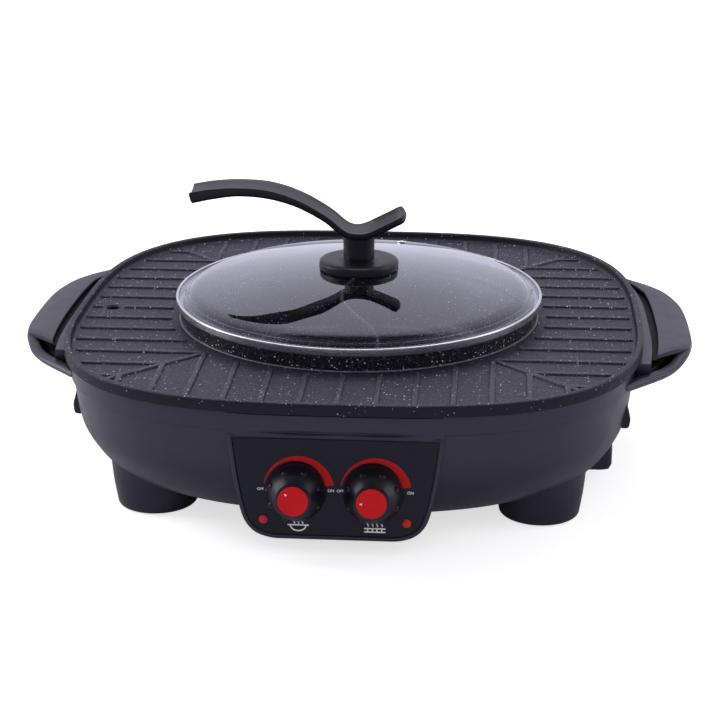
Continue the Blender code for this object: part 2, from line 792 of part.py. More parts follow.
def add_bottom_cover():
    """Add the slotted cover under the access hole, and its screws."""
    low = COVER_TOP - COVER_THICKNESS
    profile = ((COVER_RADIUS - 0.001, low), (COVER_RADIUS, low + 0.001), (COVER_RADIUS, COVER_TOP))
    cover = add("bottom_cover", revolve(profile, POT_SIDES), "sheet_metal")
    for i in range(COVER_SLOTS):
        slot = block((0.3 * COVER_RADIUS, -0.0025, 0.0), (0.7 * COVER_RADIUS, 0.0025, 0.04))
        cut(cover, turned(slot, Matrix.Rotation(tau * (i + 0.25) / COVER_SLOTS, 4, "Z")))
    for i, (x, y) in enumerate(cover_screw_places()):
        cut(cover, disc(SCREW_HOLE_RADIUS, 0.0, 0.04, SCREW_SIDES, (x, y)))
        add_screw(f"cover_screw_{i + 1}", 0.0055, upturned(x, y, low - SEAT))


# Heating parts


def add_pan():
    """Add the reflector pan with the four tabs that carry the grill element."""
    low, high = PAN_HALF, PAN_HALF + PAN_FLARE
    walls = (
        (low - 0.0060, PAN_BOTTOM),
        (low, PAN_BOTTOM + 0.0040),
        (high, PAN_TOP),
        (high - PAN_SHEET, PAN_TOP),
        (low - PAN_SHEET, PAN_BOTTOM + 0.0040),
        (low - 0.0066, PAN_FLOOR),
    )
    rings = [squircle(half, half, PLATE_POWER, z, PAN_SIDES) for half, z in walls]
    pan = add("reflector_pan", loft(rings), "sheet_metal")
    for i in range(4):
        reach = high - PAN_SHEET / 2
        tab = block(
            (reach - PAN_TAB_REACH, -PAN_TAB_WIDTH / 2, PAN_TOP - 2 * PAN_SHEET),
            (reach, PAN_TAB_WIDTH / 2, PAN_TOP - PAN_SHEET / 10),
        )
        fuse(pan, turned(tab, Matrix.Rotation(i * pi / 2, 4, "Z")))
    slot_half = ELEMENT_RADIUS + SLIDE
    lead = 2 * ELEMENT_LEAD_X
    low_z = COIL_Z - 2 * slot_half - STAND_BLADE
    front = PAN_HALF + PAN_FLARE + PAN_MARGIN
    cut(pan, block((-lead - slot_half, -front, low_z), (lead + slot_half, PAN_TAB_REACH - PAN_HALF, COIL_Z + slot_half)))
    for x, y in pan_screw_places():
        cut(pan, disc(SCREW_HOLE_RADIUS, PAN_BOTTOM - 0.01, PAN_FLOOR + 0.01, SCREW_SIDES, (x, y)))
    for i, (x, y) in enumerate(pan_screw_places()):
        add_screw(f"pan_screw_{i + 1}", 0.0085, upright(x, y, PAN_FLOOR + SEAT))


def add_grill_element():
    """Add the element loop under the plate, its two ends brought out over the pan's front wall."""
    gap = radians(6)
    half = GRILL_ELEMENT_HALF
    points = []
    count = 32
    for i in range(count + 1):
        angle = -pi / 2 + gap + (tau - 2 * gap) * i / count
        x, y = cos(angle), sin(angle)
        reach = (abs(x / half) ** 3 + abs(y / half) ** 3) ** (-1 / 3)
        points.append(Vector((reach * x, reach * y, GRILL_ELEMENT_Z)))
    end = -(PAN_HALF + PAN_FLARE + ELEMENT_LEAD_REACH)
    start = [Vector((ELEMENT_LEAD_X, y, GRILL_ELEMENT_Z)) for y in (end, -half - 0.006)]
    finish = [Vector((-ELEMENT_LEAD_X, y, GRILL_ELEMENT_Z)) for y in (-half - 0.006, end)]
    add("grill_heating_element", tube(start + points[1:-1] + finish, ELEMENT_RADIUS), "heater_sheath")


def add_pot_element():
    """Add the coil under the pot; its inner end runs out below the turns."""
    steps = int(COIL_TURNS * 12)
    coil = []
    for i in range(steps + 1):
        angle = -pi / 2 + tau * COIL_TURNS * i / steps
        radius = COIL_INNER + (COIL_OUTER - COIL_INNER) * i / steps
        coil.append(Vector((radius * cos(angle), radius * sin(angle), COIL_Z)))
    end = -(PAN_HALF + ELEMENT_LEAD_REACH)
    under = COIL_Z - 2 * ELEMENT_RADIUS - SLIDE
    x = -ELEMENT_LEAD_X
    inner = [
        Vector((x, end, COIL_Z)),
        Vector((x, -COIL_OUTER - 0.035, COIL_Z)),
        Vector((x, -COIL_OUTER - 0.015, under)),
        Vector((x, -COIL_INNER - 0.010, under)),
        Vector((x * 0.8, -COIL_INNER - 0.004, under + 0.002)),
    ]
    outer = [Vector((ELEMENT_LEAD_X, -COIL_OUTER - 0.006, COIL_Z)), Vector((ELEMENT_LEAD_X, end, COIL_Z))]
    add("pot_heating_element", tube(inner + coil[1:-1] + outer, ELEMENT_RADIUS), "heater_sheath")


def add_element_stand():
    """Add the three-bladed stand between the pan and the coil."""
    stand = add("element_stand", disc(0.012, PAN_FLOOR + SEAT, STAND_TOP - 0.004, 12), "sheet_metal")
    for i in range(3):
        blade = block((0.0, -STAND_BLADE / 2, PAN_FLOOR + SEAT), (STAND_REACH, STAND_BLADE / 2, STAND_TOP))
        fuse(stand, turned(blade, Matrix.Rotation(pi / 2 + tau * i / 3, 4, "Z")))


def add_thermal_fuse():
    """Add the fuse that lies on the pan's floor."""
    body = revolve(((FUSE_RADIUS, -FUSE_LENGTH / 2), (FUSE_RADIUS, FUSE_LENGTH / 2)), 10)
    turn = Matrix.Translation((0.0, PAN_HALF - FUSE_INSET, PAN_FLOOR + SEAT + FUSE_RADIUS)) @ Matrix.Rotation(pi / 2, 4, "Y")
    add("thermal_fuse", turned(body, turn), "insulator")


# Grill plate and pot


def plate_outline(inset, z):
    """Return the plate's outline, drawn in by an amount."""
    return squircle(PLATE_HALF_X - inset, PLATE_HALF_Y - inset, PLATE_POWER, z)


def add_plate():
    """Add the grill plate with its raised rim, ribs, pot opening and drain hole."""
    plug = BAND_BELOW_PLATE + HOUSING_WALL + POT_OPENING_CLEARANCE
    rings = [
        plate_outline(plug + 0.010, PLATE_UNDERSIDE),
        plate_outline(plug, PLATE_UNDERSIDE + 0.0002),
        plate_outline(plug, PLATE_SKIRT_BOTTOM),
        plate_outline(0.0006, PLATE_SKIRT_BOTTOM),
        plate_outline(0.0, PLATE_SKIRT_BOTTOM + 0.0008),
        plate_outline(0.0, PLATE_RIM_TOP - 0.0014),
        plate_outline(0.0014, PLATE_RIM_TOP),
        plate_outline(PLATE_RIM_WIDTH - 0.0012, PLATE_RIM_TOP),
        plate_outline(PLATE_RIM_WIDTH, PLATE_RIM_TOP - 0.0012),
        plate_outline(PLATE_RIM_WIDTH + 0.0010, PLATE_FLOOR_TOP),
    ]
    plate = add("grill_plate", loft(rings), "stone_coating")
    low, high = PLATE_UNDERSIDE - 0.01, PLATE_RIM_TOP + 0.01
    cut(plate, disc(PLATE_OPENING_RADIUS, low, high, POT_SIDES))
    fuse(plate, joined(list(rib_bars())), crossing=True)
    cut(plate, disc(DRAIN_RADIUS, low, high, 12, (DRAIN_X, 0.0)))


def rib_bar(start, end, half_width):
    """Return one bar of the grill pattern between two plan points."""
    along = (Vector(end) - Vector(start)).normalized()
    side = Vector((-along.y, along.x)) * half_width
    outline = [Vector(start) + side, Vector(start) - side, Vector(end) - side, Vector(end) + side]
    return prism(outline, PLATE_FLOOR_TOP - RIB_HEIGHT / 2, PLATE_FLOOR_TOP + RIB_HEIGHT)


def rib_bars():
    """Yield the bars: rows that face each side of the pot, and a diagonal bar between each two zones."""
    edge = PLATE_RIM_WIDTH + RIB_EDGE_CLEARANCE
    half_x, half_y = PLATE_HALF_X - edge, PLATE_HALF_Y - edge
    for k in range(-RIB_COUNT_SIDE, RIB_COUNT_SIDE + 1):
        offset = k * RIB_PITCH
        ring = max(0.0, RIB_RING_RADIUS**2 - offset**2) ** 0.5
        start = max(ring, abs(offset))
        for side in (-1, 1):
            end = squircle_x(half_x, half_y, PLATE_POWER, offset)
            gap = DRAIN_RADIUS + 0.003
            if k == 0 and side < 0:
                yield rib_bar((-start, 0.0), (DRAIN_X + gap, 0.0), RIB_WIDTH / 2)
                yield rib_bar((DRAIN_X - gap, 0.0), (-end, 0.0), RIB_WIDTH / 2)
            else:
                yield rib_bar((side * start, offset), (side * end, offset), RIB_WIDTH / 2)
            end = squircle_x(half_y, half_x, PLATE_POWER, offset)
            yield rib_bar((offset, side * start), (offset, side * end), RIB_WIDTH / 2)
    inner = (RIB_RING_RADIUS + 0.006) / 2**0.5
    outer = 2 ** (-1 / PLATE_POWER) * half_x
    for sx in (-1, 1):
        for sy in (-1, 1):
            yield rib_bar((sx * inner, sy * inner), (sx * outer, sy * outer), RIB_WIDTH / 2)


def pot_profile():
    """Return the pot's outside from its bottom up to the rim, and then its inside down to the floor."""
    shoulder = PLATE_FLOOR_TOP + SEAT
    collar = POT_SHOULDER_RADIUS
    return (
        (POT_BOTTOM_RADIUS - 0.006, POT_BOTTOM),
        (POT_BOTTOM_RADIUS + 0.002, POT_BOTTOM + 0.0022),
        (POT_BOTTOM_RADIUS + 0.008, POT_BOTTOM + 0.0100),
        (POT_NECK_RADIUS, PLATE_UNDERSIDE - 0.004),
        (POT_NECK_RADIUS, shoulder),
        (collar, shoulder),
        (collar + 0.0010, POT_RIM_TOP - 0.0012),
        (collar + 0.0002, POT_RIM_TOP),
        (POT_BORE + 0.0010, POT_RIM_TOP),
        (POT_BORE, POT_RIM_TOP - 0.0010),
        (POT_BORE - 0.0004, shoulder + 0.0030),
        (POT_NECK_RADIUS - POT_WALL, PLATE_UNDERSIDE - 0.002),
        (POT_BOTTOM_RADIUS + 0.008 - POT_WALL, POT_BOTTOM + 0.0110),
        (POT_BOTTOM_RADIUS - POT_WALL, POT_BOTTOM + POT_WALL + 0.0018),
        (POT_BOTTOM_RADIUS - POT_WALL - 0.008, POT_BOTTOM + POT_WALL),
    )


def divider_outline():
    """Return the plan outline of the S-shaped wall, thickened from its middle line."""
    reach = POT_NECK_RADIUS - POT_WALL / 2
    count = 20
    left, right = [], []
    for i in range(count + 1):
        y = -reach + 2 * reach * i / count
        x = -DIVIDER_SWING * sin(pi * y / reach)
        slope = -DIVIDER_SWING * pi / reach * cos(pi * y / reach)
        normal = Vector((1.0, -slope)).normalized() * DIVIDER_THICKNESS / 2
        left.append((x - normal.x, y - normal.y))
        right.append((x + normal.x, y + normal.y))
    return right + left[::-1]


def add_pot():
    """Add the pot with its divider, cut to the pot's own inside."""
    pot = add("hot_pot", revolve(pot_profile(), POT_SIDES), "pot_coating")
    wall = add("tool", prism(divider_outline(), POT_BOTTOM + POT_WALL / 2, DIVIDER_TOP), None)
    keep = revolve(
        (
            (POT_BOTTOM_RADIUS - POT_WALL, POT_BOTTOM + POT_WALL / 2),
            (POT_BOTTOM_RADIUS + 0.008 - POT_WALL / 2, POT_BOTTOM + 0.0105),
            (POT_NECK_RADIUS - POT_WALL / 2, PLATE_UNDERSIDE - 0.003),
            (POT_NECK_RADIUS - POT_WALL / 2, DIVIDER_TOP + 0.002),
        ),
        POT_SIDES,
    )
    apply_boolean(wall, keep, "INTERSECT")
    combine(pot, wall, "UNION")


# Lid


def dome_points():
    """Return the radii and heights of the glass's outside, from its brim inwards."""
    return [(RING_RADIUS * share, RING_TOP + rise) for share, rise in DOME]


def dome_height(radius):
    """Return the height of the glass's outside at a radius."""
    points = [*dome_points(), (0.0, DOME_TOP)]
    for (r0, z0), (r1, z1) in zip(points, points[1:]):
        if r1 <= radius <= r0:
            return z1 + (z0 - z1) * (radius - r1) / (r0 - r1)
    return points[0][1]


def add_lid_glass():
    """Add the glass dome with its flat brim, screw hole and vent hole."""
    brim_top = RING_TOP - RING_SHEET - SEAT
    brim_low = RING_BOTTOM + RING_SHEET + SEAT
    brim = RING_RADIUS - RING_SHEET - SEAT
    outer = [(brim, brim_top), (RING_INNER_RADIUS - 0.0006, brim_top)]
    outer += dome_points()
    outer.append((LID_HOLE_RADIUS, DOME_TOP))
    inner = [(LID_HOLE_RADIUS, DOME_TOP - GLASS_THICKNESS)]
    inner += [(r - 0.0006, z - GLASS_THICKNESS) for r, z in reversed(dome_points())]
    inner += [(RING_INNER_RADIUS - 0.0030, brim_low), (brim, brim_low)]
    glass = add("lid_glass", revolve(outer + inner, POT_SIDES, closed=True), "lid_glass")
    cut(glass, turned(disc(VENT_TUBE_RADIUS + SEAT, -0.02, 0.02, 12), vent_place()))


def vent_place():
    """Return the place of the vent on the glass, square to the surface there."""
    radius = hypot(VENT_X, VENT_Y)
    slope = (dome_height(radius - 0.004) - dome_height(radius + 0.004)) / 0.008
    outward = Vector((VENT_X, VENT_Y, radius / max(slope, 1e-6))).normalized()
    turn = outward.to_track_quat("Z", "Y").to_matrix().to_4x4()
    return Matrix.Translation((VENT_X, VENT_Y, dome_height(radius))) @ turn


def add_vent():
    """Add the riveted eyelet that lets steam out."""
    under = -GLASS_THICKNESS - SEAT - 0.0004
    bore = VENT_TUBE_RADIUS - 0.0010
    profile = (
        (bore, under - 0.0008),
        (VENT_RADIUS - 0.0008, under - 0.0008),
        (VENT_RADIUS - 0.0008, under),
        (VENT_TUBE_RADIUS, under),
        (VENT_TUBE_RADIUS, SEAT),
        (VENT_RADIUS, SEAT),
        (VENT_RADIUS - 0.0003, 0.0011),
        (bore + 0.0004, 0.0014),
        (bore, 0.0010),
    )
    vent = turned(revolve(profile, 16, closed=True), vent_place())
    add("steam_vent_eyelet", vent, "bright_steel")


def add_lid_ring():
    """Add the steel ring that is rolled round the edge of the glass."""
    low, high, out = RING_BOTTOM, RING_TOP, RING_RADIUS
    inner, sheet = RING_INNER_RADIUS, RING_SHEET
    profile = (
        (inner + 0.0015, low),
        (out - 0.0008, low),
        (out, low + 0.0010),
        (out, high - 0.0012),
        (out - 0.0010, high),
        (inner, high),
        (inner, high - sheet),
        (out - sheet, high - sheet),
        (out - sheet, low + sheet),
        (inner + 0.0015, low + sheet),
    )
    add("lid_rim_ring", revolve(profile, POT_SIDES, closed=True), "bright_steel")


def add_grip_base():
    """Add the round foot of the grip, hollow round the screw."""
    low, high, out = GRIP_BASE_BOTTOM, GRIP_BASE_TOP, GRIP_BASE_RADIUS
    skirt = dome_height(GRIP_BASE_RADIUS) + SEAT
    profile = (
        (LID_HOLE_RADIUS, low),
        (out * 0.60, low),
        (out * 0.92, skirt + 0.0004),
        (out - 0.0004, skirt + 0.0004),
        (out, skirt + 0.0010),
        (out, high - 0.0022),
        (out - 0.0014, high - 0.0006),
        (out - 0.0036, high),
        (GRIP_NECK_RADIUS + 0.0012, high),
        (GRIP_NECK_RADIUS + 0.0012, high - 0.0010),
        (LID_HOLE_RADIUS, high - 0.0010),
    )
    add("lid_knob_base", revolve(profile, KNOB_SIDES, closed=True), "grip_plastic")


def grip_section(thickness, dish):
    """Return the section of the grip: raised lips along a dished back, and a softer belly."""
    half, top = GRIP_WIDTH / 2, thickness / 2
    return (
        (-half, -0.3 * top),
        (-half + 0.0004, top - 0.0008),
        (-half + 0.0016, top),
        (-half + 0.0042, top - 0.1 * dish),
        (-half + 0.0066, top - dish),
        (half - 0.0066, top - dish),
        (half - 0.0042, top - 0.1 * dish),
        (half - 0.0016, top),
        (half - 0.0004, top - 0.0008),
        (half, -0.3 * top),
        (half - 0.0030, -top),
        (-half + 0.0030, -top),
    )


def add_grip():
    """Add the bird-shaped grip, lofted along its line, with its neck."""
    line = smooth([(x, GRIP_BASE_TOP + rise, thickness) for x, rise, thickness in GRIP_LINE], 2)
    rings = []
    for i, (x, z, thickness) in enumerate(line):
        before, after = line[max(i - 1, 0)], line[min(i + 1, len(line) - 1)]
        along = Vector((after[0] - before[0], 0.0, after[1] - before[1])).normalized()
        up = Vector((-along.z, 0.0, along.x))
        if up.z < 0:
            up = -up
        end = min(i, len(line) - 1 - i)
        dish = GRIP_DISH * min(1.0, end / 3)
        width = 0.88 if end == 0 else 1.0
        ring = [Vector((x, v * width, z)) + up * w for v, w in grip_section(thickness, dish)]
        rings.append(ring)
    grip = add("lid_handle", loft(rings), "grip_plastic")
    low = GRIP_BASE_TOP - 0.0010 + SEAT
    neck = ((GRIP_NECK_RADIUS, low), (GRIP_NECK_RADIUS, GRIP_BASE_TOP + 0.0242))
    fuse(grip, revolve(neck, KNOB_SIDES))
    cut(grip, disc(SCREW_RADIUS + 0.0005 + SEAT, low - 0.01, GRIP_BASE_TOP + 0.0160, 12))


def add_lid_screw():
    """Add the screw and the washer that clamp the grip to the glass."""
    under = DOME_TOP - GLASS_THICKNESS - SEAT
    washer = ((LID_HOLE_RADIUS, under - 0.0012), (0.0095, under - 0.0012), (0.0095, under), (LID_HOLE_RADIUS, under))
    add("lid_washer", revolve(washer, 16, closed=True), "rubber")
    head = under - 0.0012 - SEAT
    shank = SCREW_RADIUS + 0.0005
    profile = (
        (0.0030, head - 0.0026),
        (0.0052, head - 0.0014),
        (0.0052, head),
        (shank, head),
        (shank, GRIP_BASE_TOP + 0.0140),
        (shank * 0.6, GRIP_BASE_TOP + 0.0152),
    )
    add("lid_screw", revolve(profile, 12), "bright_steel")


# Carrying handles


def body_side(y, out=0.0):
    """Return the X of the housing's right side at a Y, moved out by a distance."""
    return squircle_x(BODY_HALF_X + out, BODY_HALF_Y + out, BELLY[-1][2], y)


def handle_line():
    """Return the outer edge of the right handle from front to rear."""
    return [Vector((body_side(y) + reach, y)) for y, reach in HANDLE_EDGE]


def at_y(line, y):
    """Return the point of a line at a Y, and the direction towards the pot there."""
    for a, b in zip(line, line[1:]):
        if a.y <= y <= b.y:
            along = (b - a).normalized()
            return a + (b - a) * (y - a.y) / (b.y - a.y), Vector((-along.y, along.x))
    return line[-1], Vector((-1.0, 0.0))


def between(span, share):
    """Return the value at a share of the way from a span's start to its end."""
    return span[0] + (span[1] - span[0]) * min(1.0, max(0.0, share))


def edge_top(y):
    """Return the height of the handle's outer edge, which climbs from the front rail to the rear."""
    ahead = (y - HOOD_INNER_Y[0]) / (HOOD_OUTER_Y[0] - HOOD_INNER_Y[0])
    return between((RAIL_TOP, HANDLE_EDGE_TOP), ahead) + between((0.0, EDGE_CLIMB), y / HOOD_OUTER_Y[1])


def handle_wall(line):
    """Return the handle's outer wall, which leans outwards as it rises."""
    rings = []
    for i, point in enumerate(line):
        along = (line[min(i + 1, len(line) - 1)] - line[max(i - 1, 0)]).normalized()
        inward = Vector((-along.y, along.x))
        low, top = HANDLE_BOTTOM, edge_top(point.y)
        section = (
            (HANDLE_FLARE + 0.0008, low),
            (HANDLE_FLARE, low + 0.0008),
            (0.0003, top - 0.0018),
            (0.0003, top - 0.0006),
            (0.0014, top),
            (HANDLE_LIP, top),
            (HANDLE_LIP + 0.0006, top - 0.0006),
            (HANDLE_FLARE + HANDLE_WALL, low),
        )
        ring = [point + inward * depth for depth, _ in section]
        rings.append([Vector((p.x, p.y, z)) for p, (_, z) in zip(ring, section)])
    return loft(rings)


def slot_width(share):
    """Return the width of the slot beside the band: narrower in front, and closed at the rear."""
    closing = (SLOT_WIDTH[1] + 0.002) * (1 - share) / 0.18 - 0.002
    return min(between(SLOT_WIDTH, share * 3), closing)


def hood_edges(line, share):
    """Return the outer and inner point of the hood at a share of its length from the front."""
    outer, inward = at_y(line, between(HOOD_OUTER_Y, share))
    y = between(HOOD_INNER_Y, share)
    return outer + inward * HOOD_INSET, Vector((body_side(y, HANDLE_BAND_WIDTH + slot_width(share)), y))


def handle_hood(line):
    """Return the sheet that roofs the handle from its wall to the slot beside the band."""
    rings = []
    for i in range(HOOD_STEPS + 1):
        outer, inner = hood_edges(line, i / HOOD_STEPS)
        base = edge_top(max(outer.y, HOOD_OUTER_Y[0])) + 0.0006
        climb = HOOD_TOP - base
        section = (
            (0.0, base - 0.0010),
            (0.05, base + 0.08 * climb),
            (0.20, base + 0.42 * climb + 0.0002),
            (0.50, base + 0.80 * climb + 0.0004),
            (0.80, base + 0.98 * climb + 0.0002),
            (0.97, HOOD_TOP),
            (1.0, HOOD_TOP - 0.0008),
            (1.0, HOOD_TOP - HOOD_THICKNESS),
            (0.50, base + 0.70 * climb - HOOD_THICKNESS),
            (0.15, base + 0.25 * climb - HOOD_THICKNESS),
            (0.0, base - HOOD_THICKNESS),
        )
        ring = [outer + (inner - outer) * share for share, _ in section]
        rings.append([Vector((p.x, p.y, z)) for p, (_, z) in zip(ring, section)])
    return loft(rings)


def web(start, end, end_top):
    """Return one upright web of the handle between two plan points, with the height of its top at the end."""
    across = (end - start).normalized()
    half = Vector((-across.y, across.x)) * (WEB_THICKNESS / 2)
    outline = (start - half, end - half, end + half, start + half)
    start_top = HANDLE_BAND_TOP - WEB_DROP
    tops = (start_top, end_top, end_top, start_top)
    low = [Vector((p.x, p.y, HANDLE_BOTTOM + 0.0004)) for p in outline]
    return loft([low, [Vector((p.x, p.y, z)) for p, z in zip(outline, tops)]])


def in_wall(line, y):
    """Return the point in the middle of the outer wall's foot at a Y."""
    point, inward = at_y(line, y)
    return point + inward * (HANDLE_FLARE + HANDLE_WALL / 2)


def hood_corner(line):
    """Return the hood's front corner beside the slot, and the direction along its front edge to the band."""
    outer, inner = hood_edges(line, 0.0)
    return inner, (inner - outer).normalized()


def handle_webs(line):
    """Return the webs: under the hood's front edge, across the slot's front end, and four straight across."""
    corner, along = hood_corner(line)
    front = corner + Vector((0.0, 0.0030)) + along * 0.0080
    webs = [web(front, in_wall(line, HOOD_OUTER_Y[0] + 0.0030), HANDLE_EDGE_TOP - 0.0002)]
    band_end = Vector((body_side(HANDLE_BAND_Y[0], HANDLE_BAND_WIDTH - 0.0015), HANDLE_BAND_Y[0] + 0.0015))
    webs.append(web(band_end, corner + Vector((0.0012, 0.0010)), HANDLE_BAND_TOP - WEB_DROP))
    for y in HANDLE_WEB_Y:
        start = Vector((body_side(y, HANDLE_BAND_WIDTH - 0.003), y))
        webs.append(web(start, in_wall(line, y), HANDLE_EDGE_TOP - 0.0002))
    return webs


def pocket_floor(line):
    """Return the floor of the pocket between the front rail, the band and the hood's front web."""
    rear = HOOD_OUTER_Y[0] + 0.0030
    corner, along = hood_corner(line)
    outline = [in_wall(line, point.y) for point in line if point.y < rear]
    outline += [in_wall(line, rear), corner + Vector((0.0, 0.0030)) + along * 0.0300]
    first = outline[0]
    outline.append(Vector((first.x - 0.0300, first.y)))
    plan = [(p.x, p.y) for p in outline]
    return prism(plan, HANDLE_BOTTOM + 0.0003, HANDLE_BOTTOM + POCKET_FLOOR)


def handle_band():
    """Return the band that lies along the housing inside the finger space."""
    count = 14
    outline = []
    for i in range(count + 1):
        y = between(HANDLE_BAND_Y, i / count)
        outline.append((body_side(y, HANDLE_BAND_WIDTH), y))
    inner = body_side(max(HANDLE_BAND_Y)) - 0.012
    outline += [(inner, HANDLE_BAND_Y[1]), (inner, HANDLE_BAND_Y[0])]
    return prism(outline, HANDLE_BOTTOM + 0.0002, HANDLE_BOTTOM + HANDLE_BAND_HEIGHT)


def band_form():
    """Return a straight form of the housing's band, to cut the handles that stand against it."""
    grown = (BODY_HALF_X + SEAT, BODY_HALF_Y + SEAT, BELLY[-1][2])
    return loft([squircle(*grown, z) for z in (HANDLE_BOTTOM - 0.01, HANDLE_BAND_TOP + 0.01)])


def add_handle(hand, side):
    """Add one carrying handle: a leaning wall, a hood over it, webs between them and a band behind."""
    line = handle_line()
    obj = add(f"handle_{hand}", handle_wall(line), "body_plastic")
    fuse(obj, handle_hood(line))
    fuse(obj, handle_band())
    fuse(obj, pocket_floor(line))
    for part in handle_webs(line):
        fuse(obj, part)
    cut(obj, band_form())
    if side < 0:
        mirror_x(obj)
    for _, screw_side, place in handle_screw_places():
        if screw_side == side:
            cut(obj, turned(screw_hole(0.012), sideways(*place, side)))
    return obj


def mirror_x(obj):
    """Turn a right-hand piece into a left-hand one."""
    for vertex in obj.data.vertices:
        vertex.co.x = -vertex.co.x
    obj.data.flip_normals()


def add_bracket(name, side, y):
    """Add one of the gussets that stay the handles from below."""
    wall = squircle_x(BODY_HALF_X - BELLY[-2][1], BODY_HALF_Y - BELLY[-2][1], 3.0, abs(y))
    low, high = BRACKET_BOTTOM, HANDLE_BOTTOM - SEAT
    reach = wall + BRACKET_REACH
    outline = (
        (wall - 0.012, low),
        (wall + 0.0015, low),
        (wall + 0.0045, low + 0.006),
        (reach - 0.001, high - 0.010),
        (reach, high),
        (wall - 0.012, high),
    )
    half = BRACKET_WIDTH / 2
    rings = [[Vector((side * x, y + dy, z)) for x, z in outline] for dy in (-half, half)]
    obj = add(name, loft(rings), "grip_plastic")
    cut(obj, housing_form())


def add_handles():
    """Add both handles with their brackets and screws."""
    for hand, side in (("left", -1), ("right", 1)):
        add_handle(hand, side)
        for row, y in (("front", -BRACKET_Y), ("rear", BRACKET_Y)):
            add_bracket(f"handle_bracket_{hand}_{row}", side, y)
    for name, side, place in handle_screw_places():
        add_screw(name, 0.012, sideways(*place, side))


# Control panel, in its own frame: X across, Y up the panel, Z out towards the cook


def box_outline(inset, z):
    """Return the outline of the control box, drawn in by an amount."""
    points = [Vector((x, y)) for x, y in BOX_OUTLINE]
    full = points + [Vector((-p.x, p.y)) for p in reversed(points)]
    drawn = []
    for i, point in enumerate(full):
        before = (point - full[i - 1]).normalized()
        after = (full[(i + 1) % len(full)] - point).normalized()
        inward = (Vector((before.y, -before.x)) + Vector((after.y, -after.x))).normalized()
        stretch = inset / max(0.3, inward.dot(Vector((after.y, -after.x))))
        drawn.append(point - inward * -stretch)
    return [Vector((p.x, p.y, z)) for p in drawn]


def add_control_box():
    """Add the frame round the panel, cut to the housing that it stands on."""
    front = [box_outline(0.0, -BOX_DEPTH), box_outline(0.0, -0.0014), box_outline(0.0012, 0.0)]
    box = add("control_box", loft(front), "body_plastic", parent=Cooker.panel)
    seat = -PANEL_RECESS - PANEL_THICKNESS - SEAT
    cut(box, loft([box_outline(BEZEL, seat), box_outline(BEZEL, 0.01)]))
    cut(box, loft([box_outline(BOX_WALL, -BOX_DEPTH - 0.01), box_outline(BOX_WALL, 0.0)]))
    cut_in_axis_frame(box, housing_form())


def knob_places():
    """Yield the hand and the X of each knob."""
    yield "left", -KNOB_X
    yield "right", KNOB_X


def add_panel():
    """Add the panel face with the holes for the bushings and the lamps."""
    back = -PANEL_RECESS - PANEL_THICKNESS
    inset = BEZEL + SEAT
    panel = loft([box_outline(inset, back), box_outline(inset, -PANEL_RECESS)])
    obj = add("control_panel", panel, "panel_face", parent=Cooker.panel)
    for _, x in knob_places():
        cut(obj, disc(BUSHING_RADIUS + SEAT, -0.01, 0.01, 16, (x, 0.0)))
        cut(obj, disc(LAMP_BODY_RADIUS + SEAT, -0.01, 0.01, 12, (lamp_x(x), -LAMP_DROP)))


def lamp_x(knob_x):
    """Return where the lamp beside a knob stands."""
    return LAMP_X if knob_x > 0 else -LAMP_X


def knob_profile():
    """Return the knob's section: dome outside, seat for the cap, hollow inside and a hub."""
    low, high, wall = KNOB_FLOAT, KNOB_FLOAT + KNOB_HEIGHT, KNOB_WALL
    bore = SPINDLE_RADIUS + SEAT
    hub = BUSHING_RADIUS + 0.0016
    depth = BUSHING_LENGTH + SLIDE
    return (
        (bore, depth),
        (hub, depth),
        (hub, high - 0.0080),
        (KNOB_RADIUS - 0.0060, high - 0.0080),
        (KNOB_RADIUS - wall, low + 0.0060),
        (KNOB_RADIUS - wall, low),
        (KNOB_RADIUS - 0.0006, low),
        (KNOB_RADIUS, low + 0.0008),
        (KNOB_RADIUS, low + 0.0030),
        (KNOB_RADIUS - 0.0010, low + 0.0052),
        (KNOB_RADIUS - 0.0024, low + 0.0100),
        (KNOB_RADIUS - 0.0052, low + 0.0152),
        (CAP_RADIUS + 0.0020, high - 0.0010),
        (CAP_RADIUS + 0.0008, high),
        (CAP_RADIUS - 0.0010, high),
        (CAP_RADIUS - 0.0010, high - 0.0008),
        (bore, high - 0.0008),
    )


def add_knob(hand, x, turn):
    """Add one knob with its red cap, both placed on the spindle's axis."""
    knob = revolve(knob_profile(), KNOB_SIDES, closed=True)
    place = {"parent": Cooker.panel, "location": (x, 0.0, 0.0), "rotation": (0.0, 0.0, turn)}
    obj = add(f"knob_{hand}", knob, "grip_plastic", **place)
    for i in range(KNOB_BUMPS):
        angle = tau * (i + 0.5) / KNOB_BUMPS
        bump = bmesh.new()
        bmesh.ops.create_icosphere(bump, subdivisions=1, radius=0.0020)
        spot = (KNOB_RADIUS - 0.0046, 0.0, KNOB_FLOAT + 0.0118)
        fuse(obj, turned(bump, Matrix.Rotation(angle, 4, "Z") @ Matrix.Translation(spot)))
    low = KNOB_FLOAT + KNOB_HEIGHT - 0.0008 + SEAT
    high = KNOB_REACH
    tongue = CAP_RADIUS - 0.0010 - SEAT
    cap = (
        (tongue, low),
        (tongue, KNOB_FLOAT + KNOB_HEIGHT + SEAT),
        (CAP_RADIUS, KNOB_FLOAT + KNOB_HEIGHT + SEAT),
        (CAP_RADIUS, high - 0.0008),
        (CAP_RADIUS - 0.0008, high),
    )
    add(f"knob_cap_{hand}", revolve(cap, KNOB_SIDES), "knob_red", **place)
    spindle = disc(SPINDLE_RADIUS, -0.0080, KNOB_FLOAT + KNOB_HEIGHT - 0.0010 - SEAT, 12)
    add(f"spindle_{hand}", spindle, "brass", **place)


